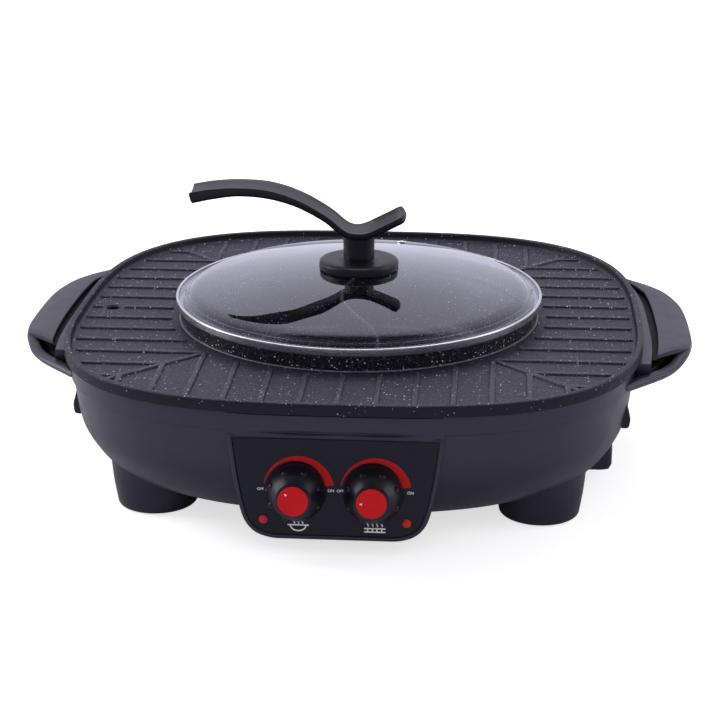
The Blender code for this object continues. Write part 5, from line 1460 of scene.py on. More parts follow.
@dataclass
class SideHandle:
    """One carrying handle: a leaning wall, a hood over it, webs between them and a band behind."""

    hand: Hand
    place: Place
    housing: Housing
    bottom: float = 0.1010
    wall: float = 0.0040
    lip: float = 0.0085
    flare: float = 0.0060
    rail_top: float = 0.1082
    edge_top: float = 0.1120
    edge_climb: float = 0.0028
    hood_outer: tuple[float, float] = (-0.0480, 0.1310)
    hood_inner: tuple[float, float] = (-0.0780, 0.1230)
    hood_top: float = 0.1165
    hood_sheet: float = 0.0035
    slot: tuple[float, float] = (0.0035, 0.0055)
    band: float = 0.0110
    band_top: float = 0.1155
    band_ends: tuple[float, float] = (-0.0980, 0.1170)
    webs: tuple[float, ...] = (-0.0340, 0.0050, 0.0440, 0.0830)
    web_sheet: float = 0.0024
    web_drop: float = 0.0075
    bracket_y: float = 0.0980
    bracket_bottom: float = 0.0640
    bracket_half: float = 0.0060
    # Thickness of the tray of painted shade inside the pocket.
    lining: float = 0.0004
    edge: tuple[tuple[float, float], ...] = (
        # distance behind the pot's axis, reach beyond the housing there
        (-0.1330, -0.0016),
        (-0.1280, 0.0020),
        (-0.1220, 0.0055),
        (-0.1130, 0.0115),
        (-0.1030, 0.0186),
        (-0.0920, 0.0260),
        (-0.0800, 0.0318),
        (-0.0650, 0.0367),
        (-0.0500, 0.0410),
        (-0.0350, 0.0436),
        (-0.0200, 0.0447),
        (0.0000, 0.0451),
        (0.0200, 0.0451),
        (0.0420, 0.0446),
        (0.0630, 0.0431),
        (0.0840, 0.0393),
        (0.0980, 0.0351),
        (0.1115, 0.0281),
        (0.1210, 0.0212),
        (0.1310, 0.0136),
        (0.1400, 0.0068),
        (0.1480, -0.0002),
        (0.1500, -0.0022),
    )

    def side_x(self, y: float, out: float = 0.0) -> float:
        """Return the X of the housing's right side at a Y, moved out by a distance."""
        return squircle_x(self.housing.half_x + out, self.housing.half_y + out, self.housing.power, y)

    def line(self) -> list[Vector]:
        """Return the outer edge of a right-hand handle from front to rear."""
        return smooth([(self.side_x(y) + reach, y) for y, reach in self.edge], 4)

    @staticmethod
    def at(line: Sequence[Vector], y: float) -> tuple[Vector, Vector]:
        """Return the point of a line at a Y, and the direction towards the pot there.

        Args:
            line: The line, from front to rear.
            y: The Y.

        Returns:
            The point and the direction.
        """
        for a, b in zip(line, line[1:]):
            if a.y <= y <= b.y:
                along = (b - a).normalized()
                return a + (b - a) * (y - a.y) / (b.y - a.y), Vector((-along.y, along.x))
        return line[-1], Vector((-1.0, 0.0))

    def top(self, y: float) -> float:
        """Return the height of the outer edge, which climbs from the front rail to the rear.

        Args:
            y: Distance behind the pot's axis.

        Returns:
            The height.
        """
        ahead = eased((y - self.hood_inner[0]) / (self.hood_outer[0] - self.hood_inner[0]))
        climb = self.edge_climb * eased(y / self.hood_outer[1])
        return self.rail_top + (self.edge_top - self.rail_top) * ahead + climb

    def wall_mesh(self, line: Sequence[Vector]) -> Mesh:
        """Return the outer wall: a broad rail with a rounded outer face that leans in below.

        Args:
            line: The handle's outer edge.

        Returns:
            The wall's mesh.
        """
        rings: list[Ring] = []
        for i, point in enumerate(line):
            along = (line[min(i + 1, len(line) - 1)] - line[max(i - 1, 0)]).normalized()
            inward = Vector((-along.y, along.x))
            low, high = self.bottom, self.top(point.y)
            corners = (
                (self.flare + self.wall, low, 0.0003),
                (self.flare - 0.0024, low, 0.0012),
                (0.0006, low + 0.48 * (high - low), 0.0040),
                (0.0002, high - 0.0024, 0.0020),
                (0.0020, high, 0.0022),
                (self.lip, high - 0.0002, 0.0008),
                (self.lip + 0.0006, high - 0.0010, 0.0004),
            )
            ring = [(point + inward * depth, z) for depth, z in softened(corners, 4)]
            rings.append([Vector((p.x, p.y, z)) for p, z in ring])
        return loft(rings)

    def hood_edges(self, line: Sequence[Vector], share: float) -> tuple[Vector, Vector]:
        """Return the hood's outer and inner point at a share of its length from the front.

        Args:
            line: The handle's outer edge.
            share: The share.

        Returns:
            The two plan points.
        """
        outer, inward = self.at(line, mixed(self.hood_outer, share))
        y = mixed(self.hood_inner, share)
        closing = (self.slot[1] + 0.002) * (1 - share) / 0.18 - 0.002
        slot = min(mixed(self.slot, share * 3), closing)
        return outer + inward * 0.0010, Vector((self.side_x(y, self.band + slot), y))

    def hood_mesh(self, line: Sequence[Vector]) -> Mesh:
        """Return the hood, crowned across and rounded over at its free edges.

        Args:
            line: The handle's outer edge.

        Returns:
            The hood's mesh.
        """
        rings: list[Ring] = []
        count = 72
        for i in range(count + 1):
            share = i / count
            outer, inner = self.hood_edges(line, share)
            base = self.top(max(outer.y, self.hood_outer[0])) + 0.0006
            climb, high, low = self.hood_top - base, self.hood_top, self.hood_sheet
            lip = 0.0005 * (1 - eased(i / 3))
            corners = (
                (0.0, base - low, 0.0),
                (0.0, base - lip, 0.0018),
                (0.16, base + 0.34 * climb + 0.0003 - lip, 0.0040),
                (0.50, base + 0.82 * climb + 0.0004 - lip, 0.0080),
                (0.82, base + 0.99 * climb - lip, 0.0050),
                (1.0, high - 0.0001 - lip, 0.0012),
                (1.0, high - low, 0.0010),
                (0.50, base + 0.70 * climb - low, 0.0),
                (0.15, base + 0.25 * climb - low, 0.0),
            )
            width = (inner - outer).length
            flat = [(f * width, z, r) for f, z, r in corners]
            unit = (inner - outer) / width
            ring = [(outer + unit * depth, z) for depth, z in softened(flat, 4)]
            rings.append([Vector((p.x, p.y, z)) for p, z in ring])
        return loft(rings)

    def web(self, start: Vector, end: Vector, end_top: float) -> Mesh:
        """Return one upright web between two plan points, whose top slopes.

        Args:
            start: Plan point by the band.
            end: Plan point by the wall or hood.
            end_top: Height of its top there.

        Returns:
            The web's mesh.
        """
        across = (end - start).normalized()
        half = Vector((-across.y, across.x)) * (self.web_sheet / 2)
        outline = (start - half, end - half, end + half, start + half)
        start_top = self.band_top - self.web_drop
        tops = (start_top, end_top, end_top, start_top)
        low = [Vector((p.x, p.y, self.bottom + 0.0004)) for p in outline]
        return loft([low, [Vector((p.x, p.y, z)) for p, z in zip(outline, tops)]])

    def in_wall(self, line: Sequence[Vector], y: float) -> Vector:
        """Return the plan point in the middle of the wall at a Y."""
        point, inward = self.at(line, y)
        return point + inward * (self.flare + self.wall / 2)

    def hood_corner(self, line: Sequence[Vector]) -> tuple[Vector, Vector]:
        """Return the hood's inner front corner, and the direction from its outer one to it."""
        outer, inner = self.hood_edges(line, 0.0)
        return inner, (inner - outer).normalized()

    def web_meshes(self, line: Sequence[Vector]) -> Iterator[Mesh]:
        """Yield the web under the hood's front edge, the one across the slot's end and the straight ones.

        Args:
            line: The handle's outer edge.

        Yields:
            The webs' meshes.
        """
        corner, along = self.hood_corner(line)
        front = corner + Vector((0.0, 0.0030)) + along * 0.0080
        under_edge = self.edge_top - 0.0002
        yield self.web(front, self.in_wall(line, self.hood_outer[0] + 0.0030), under_edge)
        y = self.band_ends[0] + 0.0015
        band_end = Vector((self.side_x(self.band_ends[0], self.band - 0.0015), y))
        yield self.web(band_end, corner + Vector((0.0012, 0.0010)), self.band_top - self.web_drop)
        for y in self.webs:
            yield self.web(Vector((self.side_x(y, self.band - 0.003), y)), self.in_wall(line, y), under_edge)

    def pocket_outline(self, line: Sequence[Vector]) -> list[Vector]:
        """Return the plan outline of the closed pocket before the hood, reaching into the housing."""
        rear = self.hood_outer[0] + 0.0030
        corner, along = self.hood_corner(line)
        outline = [self.in_wall(line, point.y) for point in line if point.y < rear]
        outline += [self.in_wall(line, rear), corner + Vector((0.0, 0.0030)) + along * 0.0300]
        outline.append(Vector((outline[0].x - 0.0300, outline[0].y)))
        return outline

    def pocket_floor(self, line: Sequence[Vector]) -> Mesh:
        """Return the floor of the pocket."""
        return prism(self.pocket_outline(line), self.bottom + 0.0003, self.bottom + 0.0022)

    def pocket_shade_lining(self, line: Sequence[Vector]) -> Mesh:
        """Return a thin tray against the wall and the band, which paints the shade inside the pocket
        near-black.

        Args:
            line: The handle's outer edge.

        Returns:
            The lining's mesh.
        """
        rear = self.hood_outer[0] - 0.0010
        wall = [self.at(line, p.y) for p in line if self.band_ends[0] - 0.0240 < p.y < rear]
        rings: list[Ring] = []
        thick = Vector((self.lining, 0.0))
        for point, inward in wall:
            high, low = self.top(point.y) - 0.0014, self.bottom + 0.0024
            side = self.side_x(point.y, 0.0006 if point.y < self.band_ends[0] else self.band + 0.0003)
            near = point + inward * (self.lip + 0.0010)
            foot = point + inward * (self.flare + self.wall + 0.0002)
            far = Vector((min(side, near.x - 0.0012), near.y))
            ring = [(near, high), (foot, low), (far, low), (far, high - 0.0006)]
            ring += [(far + thick, high - 0.0006), (far + thick, low + self.lining)]
            ring += [(foot - thick, low + self.lining), (near - thick, high)]
            rings.append([Vector((p.x, p.y, z)) for p, z in ring])
        return loft(rings)

    def slot_shade_strip(self, line: Sequence[Vector]) -> Mesh:
        """Return the strip that closes the slot from below, between the band and the hood, as painted shade
        seen in the slot.

        Args:
            line: The handle's outer edge.

        Returns:
            The strip's mesh.
        """
        rings: list[Ring] = []
        count = 40
        for i in range(count + 1):
            _, inner = self.hood_edges(line, i / count)
            near = min(self.side_x(inner.y, self.band - 0.0010), inner.x - 0.0006)
            far, high = inner.x + 0.0030, self.hood_top - 0.0046
            ring = ((near, high - 0.0008), (far, high - 0.0008), (far, high), (near, high))
            rings.append([Vector((x, inner.y, z)) for x, z in ring])
        return loft(rings)

    def band_mesh(self) -> Mesh:
        """Return the band between the housing and the finger space."""
        rings: list[Ring] = []
        count = 56
        inner = self.side_x(max(self.band_ends)) - 0.012
        for i in range(count + 1):
            y = mixed(self.band_ends, i / count)
            out = self.side_x(y, self.band)
            corners = (
                (inner, self.bottom + 0.0002, 0.0),
                (out, self.bottom + 0.0002, 0.0008),
                (out, self.band_top, 0.0014),
                (inner, self.band_top, 0.0),
            )
            rings.append([Vector((x, y, z)) for x, z in softened(corners, 4)])
        return loft(rings)

    def band_form(self) -> Mesh:
        """Return a straight form of the housing's band, to cut what lies against it."""
        grown = (self.housing.half_x + 0.0003, self.housing.half_y + 0.0003, self.housing.power)
        levels = (self.bottom - 0.01, self.band_top + 0.01)
        return loft([squircle(*grown, z, self.housing.sides) for z in levels])

    def bracket_mesh(self, row: Row) -> Mesh:
        """Return one of the gussets that stay the handle from below.

        Args:
            row: The end of the handle that it stands at.

        Returns:
            The gusset's mesh.
        """
        y = row.side * self.bracket_y
        out = self.side_x(y) - 0.0018
        low, high = self.bracket_bottom, self.bottom - 0.0003
        corners = (
            (out - 0.020, low, 0.0),
            (out - 0.0012, low, 0.0026),
            (out, low + 0.0080, 0.0030),
            (out - 0.0036, low + 0.0200, 0.0040),
            (out - 0.0040, high, 0.0006),
            (out - 0.020, high, 0.0),
        )
        outline = softened(corners, 5)
        ends = (y - self.bracket_half, y + self.bracket_half)
        bm = loft([[Vector((x, end, z)) for x, z in outline] for end in ends])
        edges = [e for e in bm.edges if abs(e.verts[0].co.y - e.verts[1].co.y) < 1e-6]
        bmesh.ops.bevel(bm, geom=edges, offset=0.0007, segments=2, affect="EDGES", profile=0.5)
        return bm

    def build(self) -> None:
        """Build the handle and its two gussets, right-handed, and mirror them where they belong."""
        name = f"handle_{self.hand.value}"
        mirror = Matrix.Scale(self.hand.side, 4, Vector((1.0, 0.0, 0.0)))
        line = self.line()
        obj = mesh_object(f"{name}_shell", self.wall_mesh(line), self.place.axis)
        for part in (self.hood_mesh(line), self.band_mesh()):
            boolean(obj, part, "UNION")
        boolean(obj, self.band_form(), "DIFFERENCE")
        self.mirrored(obj, mirror)
        Piece(f"{name}_shell", Body.BASE, BODY_PLASTIC, "body_plastic", (name,)).dress(obj)
        # The pocket floor, webs, slot strip and tray are dressed in near-black painted shade, standing for
        # the shadow inside the handle.
        inside = mesh_object(f"{name}_inside", self.pocket_floor(line), self.place.axis)
        for part in (*self.web_meshes(line), self.slot_shade_strip(line)):
            boolean(inside, part, "UNION")
        boolean(inside, self.band_form(), "DIFFERENCE")
        boolean(inside, self.pocket_shade_lining(line), "UNION")
        self.mirrored(inside, mirror)
        Piece(f"{name}_inside", Body.BASE, PAINTED_SHADE_BLACK, "body_plastic").dress(inside)
        for row in Row:
            corner = f"{self.hand.value}_{row.value}"
            node = f"handle_bracket_{corner}"
            gusset = mesh_object(f"gusset_{corner}", self.bracket_mesh(row), self.place.axis)
            boolean(gusset, self.housing.form(), "DIFFERENCE")
            self.mirrored(gusset, mirror)
            # The gussets take the darker grip plastic: partly their own black, partly painted shade for the
            # shadow under the handle.
            Piece(gusset.name, Body.BASE, GRIP_PLASTIC, "grip_plastic", (node,)).dress(gusset)

    @staticmethod
    def mirrored(obj: bpy.types.Object, mirror: Matrix) -> None:
        """Apply a mirroring matrix to an object's mesh, with its faces still turned outwards.

        Args:
            obj: The object.
            mirror: The matrix.
        """
        obj.data.transform(mirror)
        if mirror.determinant() < 0:
            obj.data.flip_normals()


@dataclass
class ControlPanel:
    """The box on the front with its recessed face, printed dials, words and lamps."""

    place: Place
    housing: Housing
    depth: float = 0.0500
    wall: float = 0.0060
    bezel: float = 0.0035
    thickness: float = 0.0014
    recess: float = 0.0004
    spindle_hole: float = 0.0053
    lamp: tuple[float, float] = (0.0522, 0.0224)
    lamp_radius: float = 0.0033
    crescent_radius: float = 0.0258
    crescent_shift: tuple[float, float] = (0.0016, 0.0006)
    crescent_turn: tuple[float, float] = (170.0, 10.0)
    crescent_width: tuple[float, float] = (0.0007, 0.0062)
    ink: float = 0.00007
    word_places: tuple[tuple[float, float], ...] = ((-0.0262, 0.0251), (-0.0242, 0.0266))
    sign_drop: float = 0.0262
    sign_line: float = 0.0010
    sign_half: float = 0.0078
    corners: tuple[tuple[float, float, float], ...] = (
        # half width, height from the knob axis, corner rounding
        (0.0790, 0.0430, 0.0040),
        (0.0750, 0.0120, 0.0100),
        (0.0705, -0.0120, 0.0080),
        (0.0665, -0.0250, 0.0070),
        (0.0590, -0.0335, 0.0070),
        (0.0470, -0.0375, 0.0080),
    )

    def outline(self, inset: float) -> list[Vector]:
        """Return the box's outline, drawn in by an amount."""
        corners = list(self.corners) + [(-x, y, r) for x, y, r in reversed(self.corners)]
        points = softened(corners, 6)
        drawn: list[Vector] = []
        count = len(points)
        for i, point in enumerate(points):
            before, after = point - points[i - 1], points[(i + 1) % count] - point
            if before.length < 1e-7 or after.length < 1e-7:
                continue
            before.normalize()
            after.normalize()
            inward = (Vector((before.y, -before.x)) + Vector((after.y, -after.x))).normalized()
            drawn.append(point + inward * inset / max(0.5, inward.dot(Vector((after.y, -after.x)))))
        return drawn

    def level(self, inset: float, z: float) -> Ring:
        """Return the outline as a ring at a height off the panel."""
        return [Vector((p.x, p.y, z)) for p in self.outline(inset)]

    def box_mesh(self) -> Mesh:
        """Return the frame round the panel, with a soft front edge and a lip inside it."""
        seat = -self.recess - self.thickness - 0.0003
        rings = [self.level(0.0, -self.depth), self.level(0.0, -0.0018), self.level(0.0003, -0.0008)]
        rings += [self.level(0.0010, -0.0002), self.level(0.0018, 0.0), self.level(self.bezel - 0.0006, 0.0)]
        rings += [self.level(self.bezel - 0.0001, -0.0004), self.level(self.bezel, seat)]
        rings += [self.level(self.wall, seat), self.level(self.wall, -self.depth)]
        return loft(rings, closed=True)

    def apron_mesh(self) -> Mesh:
        """Return the apron that carries the frame up over the housing's band, in the pot's frame."""
        half, count = self.corners[0][0] - 0.0004, 40
        rings: list[Ring] = []
        for i in range(count + 1):
            x = half * (2 * i / count - 1)
            band = -squircle_x(self.housing.half_y, self.housing.half_x, self.housing.power, x)
            soft = 0.0006 * (1 - eased(min(i, count - i) / 3))
            front, back = band - 0.0010 + soft, band + 0.0080
            low, high = self.housing.band_bottom, self.housing.top - 0.0005
            plane = (low - KNOB_HEIGHT) * sin(PANEL_LEAN) - PANEL_FRONT + soft
            corners = (
                (back, low - 0.0040, 0.0),
                (plane - 0.0002, low - 0.0040, 0.0010),
                (plane - 0.0004, low - 0.0014, 0.0020),
                (min(front, plane), low + 0.0020, 0.0020),
                (front, high, 0.0008),
                (back, high, 0.0),
            )
            rings.append([Vector((x, y, z)) for y, z in softened(corners, 4)])
        return loft(rings)

    def face_mesh(self) -> Mesh:
        """Return the panel's face."""
        edge = self.bezel + 0.0003
        rings = [self.level(edge, -self.recess - self.thickness), self.level(edge, -self.recess - 0.0003)]
        rings.append(self.level(edge + 0.0003, -self.recess))
        return loft(rings)

    def crescent(self, x: float) -> Mesh:
        """Return the printed crescent round a knob, thin at OFF and broad at ON.

        Args:
            x: Sideways place of the knob.

        Returns:
            The crescent's mesh.
        """
        out, count = self.crescent_radius, 48
        thin, growth = self.crescent_width
        aside, up = self.crescent_shift
        z = 0.00006 - self.recess
        bm = bmesh.new()
        pairs: list[tuple[bmesh.types.BMVert, ...]] = []
        for i in range(count + 1):
            share = i / count
            angle = radians(mixed(self.crescent_turn, share))
            reaches = (out, out - thin - growth * share**1.1)
            spots = [(x + aside + r * cos(angle), up + r * sin(angle), z) for r in reaches]
            pairs.append(tuple(bm.verts.new(spot) for spot in spots))
        for (outer, inner), (next_outer, next_inner) in zip(pairs, pairs[1:]):
            bm.faces.new((outer, inner, next_inner, next_outer))
        bmesh.ops.recalc_face_normals(bm, faces=bm.faces)
        if bm.faces[:][0].normal.z < 0:
            bmesh.ops.reverse_faces(bm, faces=bm.faces)
        return bm

    def word(self, text: str, size: float, x: float, y: float) -> Mesh:
        """Return a printed word, centred on a place of the panel.

        Args:
            text: The word.
            size: Height of its letters.
            x: Sideways place.
            y: Upward place.

        Returns:
            The word's mesh.
        """
        curve = bpy.data.curves.new("word", "FONT")
        curve.body = text
        curve.size = size
        curve.align_x = "CENTER"
        curve.align_y = "CENTER"
        curve.offset = size * 0.012
        helper = bpy.data.objects.new("word", curve)
        bpy.context.scene.collection.objects.link(helper)
        bpy.context.view_layer.update()
        graph = bpy.context.evaluated_depsgraph_get()
        mesh = bpy.data.meshes.new_from_object(helper.evaluated_get(graph))
        bm = bmesh.new()
        bm.from_mesh(mesh)
        bpy.data.objects.remove(helper)
        bpy.data.curves.remove(curve)
        bpy.data.meshes.remove(mesh)
        return moved(bm, Matrix.Translation((x, y, self.ink - self.recess)))

    def stroke(
        self, points: Sequence[tuple[float, float]], width: float, x: float, y: float
    ) -> Mesh:
        """Return a printed line of even width through points about a place of the panel.

        Args:
            points: The points.
            width: The line's width.
            x: Sideways place.
            y: Upward place.

        Returns:
            The line's mesh.
        """
        path = [Vector(p) for p in points]
        bm = bmesh.new()
        sides: list[list[bmesh.types.BMVert]] = [[], []]
        for i, point in enumerate(path):
            along = (path[min(i + 1, len(path) - 1)] - path[max(i - 1, 0)]).normalized()
            across = Vector((-along.y, along.x)) * width / 2
            for row, spot in zip(sides, (point + across, point - across)):
                row.append(bm.verts.new((spot.x + x, spot.y + y, self.ink - self.recess)))
        for i in range(len(path) - 1):
            bm.faces.new((sides[0][i], sides[1][i], sides[1][i + 1], sides[0][i + 1]))
        return bm

    def pot_sign(self, x: float, y: float) -> Iterator[Mesh]:
        """Yield the strokes of a small sign of a pot with steam over it.

        Args:
            x: Sideways place.
            y: Upward place.

        Yields:
            The strokes' meshes.
        """
        thin, half = self.sign_line, self.sign_half
        bowl = [(0.0056 * cos(a), 0.0040 * sin(a) - 0.0004) for a in (pi + pi * i / 14 for i in range(15))]
        yield self.stroke(bowl, thin, x, y)
        yield self.stroke([(-half, 0.0), (half, 0.0)], thin, x, y)
        for shift in (-0.0030, 0.0, 0.0030):
            wisp = [(shift + 0.0006 * sin(tau * t), 0.0010 + 0.0026 * t) for t in (i / 10 for i in range(11))]
            yield self.stroke(wisp, thin * 0.8, x, y)

    def grill_sign(self, x: float, y: float) -> Iterator[Mesh]:
        """Yield the strokes of a small sign of a ribbed grill with heat over it.

        Args:
            x: Sideways place.
            y: Upward place.

        Yields:
            The strokes' meshes.
        """
        thin, half = self.sign_line, self.sign_half
        low, high = -0.0038, -0.0012
        yield self.stroke([(-half, low), (half, low)], thin, x, y)
        yield self.stroke([(-half, high), (half, high)], thin, x, y)
        for shift in (-0.0051, -0.0017, 0.0017, 0.0051):
            yield self.stroke([(shift, low), (shift, high)], thin, x, y)
            wisp = [(shift + 0.0005 * sin(tau * t), 0.0004 + 0.0030 * t) for t in (i / 10 for i in range(11))]
            yield self.stroke(wisp, thin * 0.8, x, y)

    def print_meshes(self) -> Iterator[Mesh]:
        """Yield the white print: OFF and ON at each dial, and a sign under each knob."""
        for x, (off, on) in zip((-KNOB_X, KNOB_X), self.word_places):
            yield self.word("OFF", 0.0029, x + off, 0.0006)
            yield self.word("ON", 0.0030, x + on, 0.0006)
        yield self.stroke([(-0.0006, 0.0), (0.0006, 0.0)], 0.0008, -KNOB_X - 0.0218, 0.0)
        yield from self.pot_sign(-KNOB_X + 0.0012, -self.sign_drop)
        yield from self.grill_sign(KNOB_X + 0.0010, -self.sign_drop)

    def lens_mesh(self, side: int) -> Mesh:
        """Return one lamp's domed lens.

        Args:
            side: Sign of X on its side.

        Returns:
            The lens's mesh.
        """
        low, r = 0.0003 - self.recess, self.lamp_radius
        corners = (
            (r, low, 0.0),
            (r, low + 0.0009, 0.0007),
            (r * 0.55, low + 0.0017, 0.0010),
            (0.0002, low + 0.0019, 0.0),
        )
        x, drop = self.lamp
        return turned_solid(softened(corners, 5, closed=False), 40, (side * x, -drop))

    def build(self) -> None:
        """Build the box, the face, the print and the lamps."""
        panel = self.place.panel
        box = mesh_object("panel_frame", self.box_mesh(), panel)
        form = moved(self.housing.form(), panel.inverted() @ self.place.axis)
        boolean(box, form, "DIFFERENCE", folded=True)
        apron = mesh_object("panel_apron", self.apron_mesh(), self.place.axis)
        boolean(apron, self.housing.form(), "DIFFERENCE")
        Piece("panel_apron", Body.BASE, BODY_PLASTIC, "body_plastic").dress(apron)
        Piece("panel_frame", Body.BASE, BODY_PLASTIC, "body_plastic", ("control_box",)).dress(box)
        face = mesh_object("panel_sheet", self.face_mesh(), panel)
        hole = ((self.spindle_hole, -0.01), (self.spindle_hole, 0.01))
        holes = joined(turned_solid(hole, 32, (x, 0.0)) for x in (-KNOB_X, KNOB_X))
        boolean(face, holes, "DIFFERENCE")
        Piece("panel_sheet", Body.BASE, PANEL_FACE, "panel_face", ("control_panel",)).dress(face)
        arcs = joined(self.crescent(x) for x in (-KNOB_X, KNOB_X))
        Piece("dial_crescents", Body.BASE, RED_INK, "knob_red").make(arcs, panel)
        Piece("dial_print", Body.BASE, WHITE_INK, "panel_face").make(joined(self.print_meshes()), panel)
        for hand in Hand:
            node = f"indicator_lamp_{hand.value}"
            lens = Piece(f"lamp_lens_{hand.value}", Body.BASE, LAMP_RED, "lamp_red", (node,))
            lens.make(self.lens_mesh(hand.side), panel)


@dataclass
class Knob:
    """One dial knob: a domed skirt with small bumps, and a red cap with a white pointer."""

    hand: Hand
    place: Place
    radius: float = 0.0216
    height: float = 0.0215
    float_gap: float = 0.0006
    wall: float = 0.0030
    bumps: int = 8
    bump_radius: float = 0.0029
    hub: tuple[float, float] = (0.0033, 0.0066)
    hub_low: float = 0.0055
    cap_radius: float = 0.0110
    cap_thickness: float = 0.0030

    @property
    def turn(self) -> float:
        """Return how far the knob is turned from OFF at rest."""
        return -radians(45.0) if self.hand is Hand.LEFT else 0.0

    @property
    def body(self) -> Body:
        """Return the body that turns with the knob."""
        return Body.LEFT_KNOB if self.hand is Hand.LEFT else Body.RIGHT_KNOB

    def skirt_mesh(self) -> Mesh:
        """Return the knob's dome, hollow behind, with its hub and bumps."""
        low, high, r = self.float_gap, self.float_gap + self.height, self.radius
        bore, hub = self.hub
        corners = (
            (bore, self.hub_low, 0.0),
            (hub, self.hub_low, 0.0004),
            (hub, high - 0.0080, 0.0010),
            (r - 0.0060, high - 0.0080, 0.0016),
            (r - self.wall, low + 0.0060, 0.0030),
            (r - self.wall, low, 0.0004),
            (r, low, 0.0007),
            (r, low + 0.0040, 0.0030),
            (r - 0.0020, low + 0.0100, 0.0040),
            (r - 0.0050, low + 0.0158, 0.0040),
            (self.cap_radius + 0.0014, high, 0.0026),
            (self.cap_radius - 0.0010, high, 0.0004),
            (self.cap_radius - 0.0010, high - 0.0008, 0.0),
            (bore, high - 0.0008, 0.0),
        )
        parts = [revolve(softened(corners, 6), 96)]
        for i in range(self.bumps):
            bump = bmesh.new()
            bmesh.ops.create_uvsphere(bump, u_segments=16, v_segments=10, radius=self.bump_radius)
            spot = Matrix.Translation((r - 0.0040, 0.0, low + 0.0112))
            parts.append(moved(bump, Matrix.Rotation(tau * (i + 0.5) / self.bumps, 4, "Z") @ spot))
        return joined(parts)

    def cap_mesh(self) -> Mesh:
        """Return the red cap, slightly crowned."""
        base = self.float_gap + self.height
        low, high, r = base + 0.0003, base + self.cap_thickness - 0.0003, self.cap_radius
        corners = (
            (r - 0.0013, base - 0.0005, 0.0),
            (r - 0.0013, low, 0.0),
            (r, low, 0.0003),
            (r, high - 0.0002, 0.0009),
            (r * 0.5, high, 0.0010),
            (0.0002, high, 0.0),
        )
        return turned_solid(softened(corners, 5, closed=False), 80)

    def pointer_mesh(self) -> Mesh:
        """Return the white pointer printed on the cap, aimed at OFF on the left."""
        z = self.float_gap + self.height + self.cap_thickness - 0.0003 - 0.00004
        bm = bmesh.new()
        tip = ((-0.0082, 0.0004), (-0.0084, -0.0002))
        tail = ((-0.0052, -0.0011), (-0.0046, 0.0), (-0.0052, 0.0011))
        face = bm.faces.new([bm.verts.new((x, y, z)) for x, y in tip + tail])
        face.normal_update()
        if face.normal.z < 0:
            face.normal_flip()
        return bm

    def build(self) -> None:
        """Build the knob, its cap and its pointer."""
        name = self.hand.value
        spot = self.place.panel @ Matrix.Translation((self.hand.side * KNOB_X, 0.0, 0.0))
        spot = spot @ Matrix.Rotation(self.turn, 4, "Z")
        skirt = Piece(f"knob_skirt_{name}", self.body, GRIP_PLASTIC, "grip_plastic", (f"knob_{name}",))
        skirt.make(self.skirt_mesh(), spot)
        disc = Piece(f"knob_disc_{name}", self.body, KNOB_RED, "knob_red", (f"knob_cap_{name}",))
        disc.make(self.cap_mesh(), spot)
        pointer = Piece(f"knob_pointer_{name}", self.body, WHITE_INK, "knob_red")
        pointer.make(self.pointer_mesh(), spot)


@dataclass
class CarriedNodes:
    """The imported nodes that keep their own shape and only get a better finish."""

    finishes: dict[str, Finish] = field(
        default_factory=lambda: {
            "foot_pad": RUBBER,
            "lid_washer": RUBBER,
            "bottom_cover": SHEET_METAL,
            "reflector_pan": SHEET_METAL,
            "element_stand": SHEET_METAL,
            "grill_heating_element": HEATER_SHEATH,
            "pot_heating_element": HEATER_SHEATH,
            "drain_tube": HEATER_SHEATH,
            "thermal_fuse": INSULATOR,
            "thermostat_nut": BRASS,
            "thermostat_lead": LEAD_SHEATH,
            "thermostat": INSULATOR,
            "terminal_block": INSULATOR,
            "inlet_socket": INSULATOR,
            "inlet_pin": BRASS,
            "spindle": BRASS,
            "supply_lead": LEAD_SHEATH,
            "inlet_housing": BODY_PLASTIC,
            "drip_box": BODY_PLASTIC,
            "cover_screw": BRIGHT_STEEL,
            "pan_screw": BRIGHT_STEEL,
            "handle_screw": BRIGHT_STEEL,
            "lid_screw": BRIGHT_STEEL,
        }
    )

    def build(self) -> None:
        """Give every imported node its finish, those that a finer piece stands for among them."""
        for name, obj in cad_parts.items():
            match = next((key for key in self.finishes if name.startswith(key)), None)
            if match is None:
                continue
            finish = self.finishes[match]
            for index in range(len(obj.material_slots)):
                obj.material_slots[index].material = finish.material()
            LOG.info("%s: packed shape, %s", name, finish.name)


# Studio


@dataclass
class SoftBox:
    """One square lamp that looks at the object."""

    name: str
    spot: tuple[float, float, float]
    size: tuple[float, float]
    power: float
    aim: tuple[float, float, float] = (0.0, 0.0, 0.10)
    mirrored: bool = True

    def build(self, spared: bpy.types.Collection) -> None:
        """Hang the lamp, turn it to its aim and keep it off the spared pieces.

        Args:
            spared: Collection that holds what the lamp does not light.
        """
        lamp = bpy.data.lights.new(self.name, "AREA")
        lamp.shape = "RECTANGLE"
        lamp.size, lamp.size_y = self.size
        lamp.energy = self.power
        obj = bpy.data.objects.new(self.name, lamp)
        obj.location = self.spot
        obj.rotation_euler = (Vector(self.aim) - Vector(self.spot)).to_track_quat("-Z", "Y").to_euler()
        obj.visible_glossy = self.mirrored
        obj.light_linking.receiver_collection = spared
        bpy.context.scene.collection.objects.link(obj)


